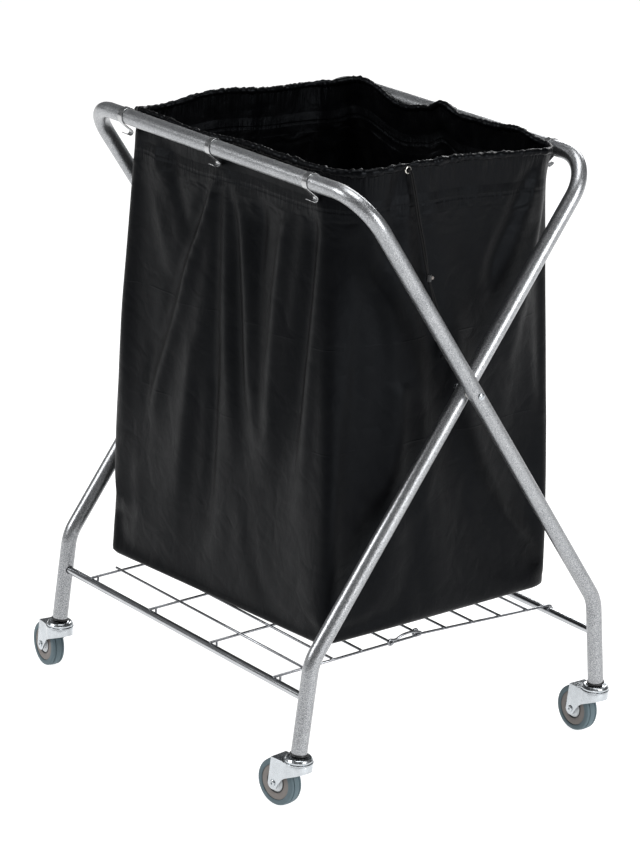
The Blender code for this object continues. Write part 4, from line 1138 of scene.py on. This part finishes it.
def wall_point(column, row):
    share, v = column / COLUMNS, row / ROWS
    half_d = BASE_HALF_DEPTH + (TOP_HALF_DEPTH - BASE_HALF_DEPTH) * float(ease(0.35, 0.95, v))
    corner = CORNER_AT_BASE + (CORNER_AT_RIM - CORNER_AT_BASE) * float(ease(0.20, 0.92, v))
    (x, y), (nx, ny) = outline(BAG_HALF_WIDTH, half_d, corner, share)
    foot = base_height(x, y)
    z = foot + v * (rim_height(share) - foot)
    wall = ("front" if ny < 0 else "back") if abs(ny) > abs(nx) else ("right" if nx > 0 else "left")
    rise = crease_rise(wall, x if abs(ny) > abs(nx) else y, z) * float(ease(0.0, 0.06, v))
    flat = min(abs(nx), abs(ny))
    ripple = sum(noise.noise(Vector((share * a, z * b, c))) * depth for a, b, c, depth in WAVES)
    y += BASE_SET_BACK * (1 - float(ease(0.0, 0.55, v))) * (1 + ny) / 2
    rise = rise * (1 - flat) + ripple * float(ease(0.02, 0.2, v))
    for hook_x in HOOKS_X:
        # the hook draws the hem outwards to itself
        if abs(ny) > 0.9:
            near = exp(-((x - hook_x) / 0.022) ** 2 - ((z - HOLD_HEIGHT) / 0.020) ** 2)
            rise += near * (HOOK_PULL - half_d - rise)
    if nx > 0.9:
        # the eyelet's own patch lies flat
        rise *= 1 - exp(-((y - EYELET_Y) / 0.020) ** 2 - ((z - EYELET_Z) / 0.014) ** 2)
    return Vector((MIDDLE_X + x + nx * rise, y + ny * rise, z))


# %% Walls and base
BASE_RINGS = 9
BASE_SAG = 0.008
bm = bmesh.new()
cut_map = bm.loops.layers.uv.new("cut")
grid = [[bm.verts.new(wall_point(c, r)) for c in range(COLUMNS)] for r in range(ROWS + 1)]
around = sum((grid[ROWS][c].co - grid[ROWS][c - 1].co).length for c in range(COLUMNS))
wall_height = float(np.mean([sum((grid[r][c].co - grid[r - 1][c].co).length for r in range(1, ROWS + 1))
                             for c in range(0, COLUMNS, 8)]))
for r in range(ROWS):
    for c in range(COLUMNS):
        corners = [(r, c), (r, c + 1), (r + 1, c + 1), (r + 1, c)]
        face = bm.faces.new([grid[i][j % COLUMNS] for i, j in corners])
        for loop, (i, j) in zip(face.loops, corners):
            loop[cut_map].uv = (j / COLUMNS * around, (1 - i / ROWS) * wall_height)
inner = grid[0]
middle = Vector((MIDDLE_X, 0, BAG_BASE - BASE_SAG))
for ring in range(1, BASE_RINGS):
    t = ring / BASE_RINGS
    ring_verts = []
    for v in grid[0]:
        at = v.co.lerp(middle, t)
        at.z = v.co.z + (middle.z - v.co.z) * (1 - (1 - t) ** 2)
        ring_verts.append(bm.verts.new(at))
    for c in range(COLUMNS):
        d = (c + 1) % COLUMNS
        face = bm.faces.new([inner[c], ring_verts[c], ring_verts[d], inner[d]])
        for loop in face.loops:
            loop[cut_map].uv = (loop.vert.co.x - MIDDLE_X, wall_height + BASE_HALF_DEPTH + loop.vert.co.y)
    inner = ring_verts
bm.faces.new(inner[::-1])
bm.verts.index_update()

# %% Where the cloth is held
HOOK_GRIP, EYELET_GRIP = 0.012, 0.016
holds = {}
for r in range(ROWS + 1):
    for c in range(COLUMNS):
        v = grid[r][c]
        near_hook = min(hypot(v.co.x - MIDDLE_X - x, v.co.z - HOLD_HEIGHT) for x in HOOKS_X)
        held = 0.03 + 0.30 * float(ease(0.93, 1.0, r / ROWS)) + 0.97 * (r == 0)
        near_eyelet = hypot(v.co.y - EYELET_Y, v.co.z - EYELET_Z)
        if abs(v.co.y) > 0.205 and near_hook < HOOK_GRIP:
            held = 1.0
        if v.co.x > MIDDLE_X + 0.27 and near_eyelet < EYELET_GRIP:
            held = 1.0
        holds[v.index] = min(held, 1.0)
bmesh.ops.recalc_face_normals(bm, faces=bm.faces)
bag = piece("laundry_bag_cloth", bm, TAFFETA, "bag", "nylon_cloth", "laundry_bag", sharp=180)
print(f"bag: {around:.2f} m round, {wall_height:.3f} m deep, {len(bag.data.vertices)} points")

# %% Let the slack settle
SLACK = 0.035


def settle_cloth(obj, holds, frames):
    """Gravity and a little spare cloth, held where the group says. The result is made final."""
    group = obj.vertex_groups.new(name="held")
    for v in obj.data.vertices:
        group.add([v.index], holds.get(v.index, 1.0), 'REPLACE')
    obj.shape_key_add(name="Basis")
    rest = obj.shape_key_add(name="cut")
    low_z, high_z = BAG_BASE, RAIL_HEIGHT
    for v, spot in zip(obj.data.vertices, rest.data):
        spare = 1 + SLACK * float(ease(low_z, low_z + 0.25, v.co.z))
        spot.co = Vector((MIDDLE_X + (v.co.x - MIDDLE_X) * spare, v.co.y * spare, v.co.z))
    rest.value = 0.0
    cloth = obj.modifiers.new("slack", 'CLOTH')
    cloth.settings.vertex_group_mass = group.name
    cloth.settings.rest_shape_key = rest
    cloth.settings.quality = 5
    cloth.settings.mass = 0.12
    cloth.settings.tension_stiffness = 25
    cloth.settings.compression_stiffness = 20
    cloth.settings.shear_stiffness = 8
    cloth.settings.bending_stiffness = 0.25
    cloth.settings.pin_stiffness = 4
    cloth.settings.air_damping = 4
    cloth.collision_settings.use_collision = False
    cloth.point_cache.frame_start, cloth.point_cache.frame_end = 1, frames
    scene = bpy.context.scene
    for frame_number in range(1, frames + 1):
        scene.frame_set(frame_number)
    ready = obj.evaluated_get(bpy.context.evaluated_depsgraph_get())
    mesh = bpy.data.meshes.new_from_object(ready)
    obj.modifiers.clear()
    old = obj.data
    obj.data = mesh
    bpy.data.meshes.remove(old)
    scene.frame_set(1)


started = [v.co.copy() for v in bag.data.vertices]
settle_cloth(bag, holds, 26)
moved = [(v.co - a).length for v, a in zip(bag.data.vertices, started)]
print(f"settled: moved {1000 * np.mean(moved):.1f} mm on average, {1000 * max(moved):.1f} mm at most")

# %% Keep clear of the frame
# the rails are in front and behind, the arms at the sides, and the drawcord hangs down the right wall
MOST_MOVE = 0.022
RAIL_CLEAR, ARM_CLEAR, CORD_CLEAR = 0.2165, 0.2990, 0.2920
for v, start in zip(bag.data.vertices, started):
    shift_by = v.co - start
    if shift_by.length > MOST_MOVE:
        v.co = start + shift_by * (MOST_MOVE / shift_by.length)
    if v.co.z > RAIL_HEIGHT - 0.014:
        v.co.y = float(np.clip(v.co.y, -RAIL_CLEAR, RAIL_CLEAR))
    reach = CORD_CLEAR if -0.15 < v.co.y < 0.02 and v.co.z > 0.64 else ARM_CLEAR
    v.co.x = float(np.clip(v.co.x, MIDDLE_X - ARM_CLEAR, MIDDLE_X + reach))
smoother = bag.modifiers.new("finer", 'SUBSURF')
smoother.levels = smoother.render_levels = 1
settle(bag)


def open_edge(mesh):
    """The points of a mesh's one open edge, in order."""
    uses = {}
    for polygon in mesh.polygons:
        for key in polygon.edge_keys:
            uses[key] = uses.get(key, 0) + 1
    beside = {}
    for (a, b), count in uses.items():
        if count == 1:
            beside.setdefault(a, []).append(b)
            beside.setdefault(b, []).append(a)
    first = min(beside)
    loop, here = [first], beside[first][0]
    while here != first:
        loop.append(here)
        here = next(n for n in beside[here] if n != loop[-2])
    return [mesh.vertices[i].co.copy() for i in loop]


# %% Give the cloth its thickness
rim_points = open_edge(bag.data)
thick = bag.modifiers.new("cloth", 'SOLIDIFY')
thick.thickness = 0.0004
thick.offset = 0.0
settle(bag)
bag.data.shade_smooth()
print(f"bag cloth: {len(bag.data.polygons)} faces, rim of {len(rim_points)} points")

# %% [markdown]
# ## The gathered rim
# The rim is a hem sewn into a tunnel with the drawcord inside. Drawn up, it becomes a
# soft roll with a short pucker every few millimetres. It follows the settled bag's edge.

# %% Rim roll
ROLL_R = 0.0060
STEP = 0.0019
EYELET = Vector((MIDDLE_X + BAG_HALF_WIDTH, EYELET_Y, EYELET_Z))


def rim_roll(points):
    count = int(sum((a - b).length for a, b in zip(points, points[1:] + points[:1])) / STEP)
    line = smooth([tuple(p) for p in points + points[:1]], count + 1)[:-1]
    line = [Vector(p) for p in line]
    bm = bmesh.new()
    cut_map = bm.loops.layers.uv.new("cut")
    sides = 14
    rings = []
    for i, p in enumerate(line):
        forward = (line[(i + 1) % count] - line[i - 1]).normalized()
        out = forward.cross(Vector((0, 0, 1))).normalized()
        up = out.cross(forward).normalized()
        # puckers about 6 mm apart, on lumps about 30 mm long
        pucker = noise.noise(Vector((i * STEP / 0.0062, 3.3, 0.0)))
        size = 0.80 + 0.5 * abs(noise.noise(Vector((i * STEP / 0.030, 9.1, 0.0))))
        # pulled flat where the eyelet is
        size *= 1 - 0.55 * exp(-((p.y - EYELET.y) / 0.010) ** 2) * (p.x > MIDDLE_X + 0.2)
        ring = []
        for k in range(sides):
            a = 2 * pi * k / sides
            skew = noise.noise(Vector((i * STEP / 0.0050, 2.0 * cos(a), 2.0 * sin(a))))
            r = ROLL_R * size * (1 + 0.30 * pucker + 0.24 * skew)
            ring.append(bm.verts.new(p + out * r * 0.85 * cos(a) + up * (r * sin(a) - 0.001)))
        rings.append(ring)
    for i, ring in enumerate(rings):
        after = rings[(i + 1) % count]
        for k in range(sides):
            m = (k + 1) % sides
            face = bm.faces.new([ring[k], after[k], after[m], ring[m]])
            for loop in face.loops:
                loop[cut_map].uv = (i * STEP, 0.004)
    bmesh.ops.recalc_face_normals(bm, faces=bm.faces)
    return piece("gathered_rim", bm, TAFFETA, "bag", "nylon_cloth", "laundry_bag", sharp=180)


roll = rim_roll(rim_points)
roll.data.shade_smooth()
print("rim roll:", len(roll.data.polygons), "faces")

# %% [markdown]
# ## Eyelet and drawcord
# The drawcord comes out through a two-part nickel eyelet. Its two strands are braided
# polyester about 3 mm thick. They run through a small cord lock and end in a knot.

# %% Eyelet
EYELET_METAL = plated("nickel_plated_brass_eyelet", "#d9d6cf", 0.16, (90.0, 90.0, 90.0))
BLACK_CORD_R = 0.0015


def cord_material():
    material, tree, shader = new_material("braided_black_polyester_cord", "#050506", 0.6, 0.0,
                                          Specular_IOR_Level=0.2)
    where = node(tree, 'ShaderNodeTexCoord').outputs["Object"]
    # the braid's picks are 1.2 mm apart, and lean 38 degrees either way
    picks = []
    for lean in (38, -38):
        turned = node(tree, 'ShaderNodeMapping', {"Vector": where, "Rotation": (radians(lean), 0, 0)})
        picks.append(node(tree, 'ShaderNodeTexWave',
                          {"Vector": turned.outputs["Vector"], "Scale": 0.314 / 0.0012},
                          bands_direction='Z').outputs["Fac"])
    braid = node(tree, 'ShaderNodeMath', {0: picks[0], 1: picks[1]}, operation='MULTIPLY').outputs[0]
    # the braid's crests are painted lighter and its grooves darker: painted sheen on the crests and painted
    # shade in the grooves, following the braid's relief
    tint = node(tree, 'ShaderNodeValToRGB', {"Fac": braid}, stops=((0.1, "#020203"), (0.8, "#0e0e10")))
    tree.links.new(tint.outputs["Color"], shader.inputs["Base Color"])
    bump = node(tree, 'ShaderNodeBump', {"Height": braid, "Distance": 0.0005, "Strength": 0.8})
    tree.links.new(bump.outputs["Normal"], shader.inputs["Normal"])
    return material


CORD = cord_material()
face = shift(*EYELET) @ turn('Y', pi / 2)
bm = bmesh.new()
spin(bm, [(0.0038, -0.0020), (0.0038, 0.0010), (0.0040, 0.0014), (0.0046, 0.0017), (0.0053, 0.0015),
          (0.0060, 0.0007), (0.0060, 0.0003), (0.0052, 0.0001), (0.0052, -0.0006), (0.0060, -0.0009),
          (0.0060, -0.0014), (0.0048, -0.0021)], 64, face)
eyelet = piece("drawcord_eyelet_ring", bm, EYELET_METAL, "bag", "eyelet_metal", "drawcord_eyelet")

# %% Drawcord
# x from the bag's middle, y and height, down the front strand
CORD_WAY = [(0.2865, -0.1018, 0.9640), (0.2905, -0.1018, 0.9637), (0.2945, -0.1014, 0.9617),
            (0.2968, -0.1008, 0.9575), (0.2974, -0.0990, 0.9490), (0.2970, -0.0925, 0.9240),
            (0.2966, -0.0815, 0.8820), (0.2966, -0.0700, 0.8400), (0.2968, -0.0580, 0.7960),
            (0.2970, -0.0450, 0.7570), (0.2970, -0.0310, 0.7260), (0.2968, -0.0240, 0.7010),
            (0.2966, -0.0228, 0.6743)]
LOCK_HEIGHT = 0.7960
KNOT = Vector((MIDDLE_X + 0.2966, -0.0210, 0.6680))


def strand(name, apart, node_name):
    """One strand, a little apart from its twin except where the cord lock draws the two together."""
    way = []
    for x, y, z in smooth(CORD_WAY, 90):
        closer = 1 - 0.75 * exp(-((z - LOCK_HEIGHT) / 0.02) ** 2)
        way.append((MIDDLE_X + x + 0.0004 * sin(90 * z), y + apart * closer, z))
    bm = bmesh.new()
    rod(bm, [Vector(p) for p in way], BLACK_CORD_R, 14)
    return piece(name, bm, CORD, "bag", "black_cord", node_name, sharp=60), way


front_strand, front_way = strand("front_drawcord_strand", 0.0, "drawcord_strand_front")
rear_strand, rear_way = strand("rear_drawcord_strand", 0.0036, "drawcord_strand_rear")

# %% Knot
bm = bmesh.new()
turns = [(KNOT.x + 0.0030 * cos(a), KNOT.y + 0.0030 * sin(a), KNOT.z - 0.0026 + 0.0052 * t)
         for t in np.linspace(0, 1, 46) for a in [4.6 * pi * t]]
rod(bm, [Vector(p) for p in turns], 0.0017, 12)
bmesh.ops.create_uvsphere(bm, u_segments=20, v_segments=14, radius=0.0036, matrix=shift(*KNOT))
knot = piece("drawcord_overhand_knot", bm, CORD, "bag", "black_cord", "drawcord_knot", sharp=60)

# %% Cord lock
lock_at = Vector((MIDDLE_X + 0.2968, -0.0565, LOCK_HEIGHT))
bm = bmesh.new()
barrel = [(0, 0.0055), (0.0036, 0.0055), (0.0042, 0.0048), (0.0042, -0.0048), (0.0036, -0.0055), (0, -0.0055)]
spin(bm, barrel, 32, shift(*lock_at))
lock = piece("cord_lock_barrel", bm, BLACK_PLASTIC, "bag", "black_plastic")
# the push button is a real part; its pale taupe colour is a painted highlight, standing for the small pale
# gleam on the black cord lock
bm = bmesh.new()
spin(bm, [(0, 0.0030), (0.0014, 0.0028), (0.0024, 0.0018), (0.0026, 0.0), (0.0026, -0.003), (0, -0.003)], 32,
     shift(lock_at.x + 0.0020, lock_at.y + 0.0042, lock_at.z) @ turn('X', -pi / 2))
button = piece("cord_lock_button", bm, TAUPE, "bag", "taupe_plastic")
strand_run = sum((Vector(a) - Vector(b)).length for a, b in zip(front_way, front_way[1:]))
print(f"drawcord strands: {strand_run:.3f} m each")

# %% [markdown]
# ## Own meshes
# Each part of the bag, its eyelet, cords, knot and cord lock is given a mesh of its own.

# %% Own meshes
for part_of_bag in (bag, roll, eyelet, front_strand, rear_strand, knot, lock, button):
    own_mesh(part_of_bag)
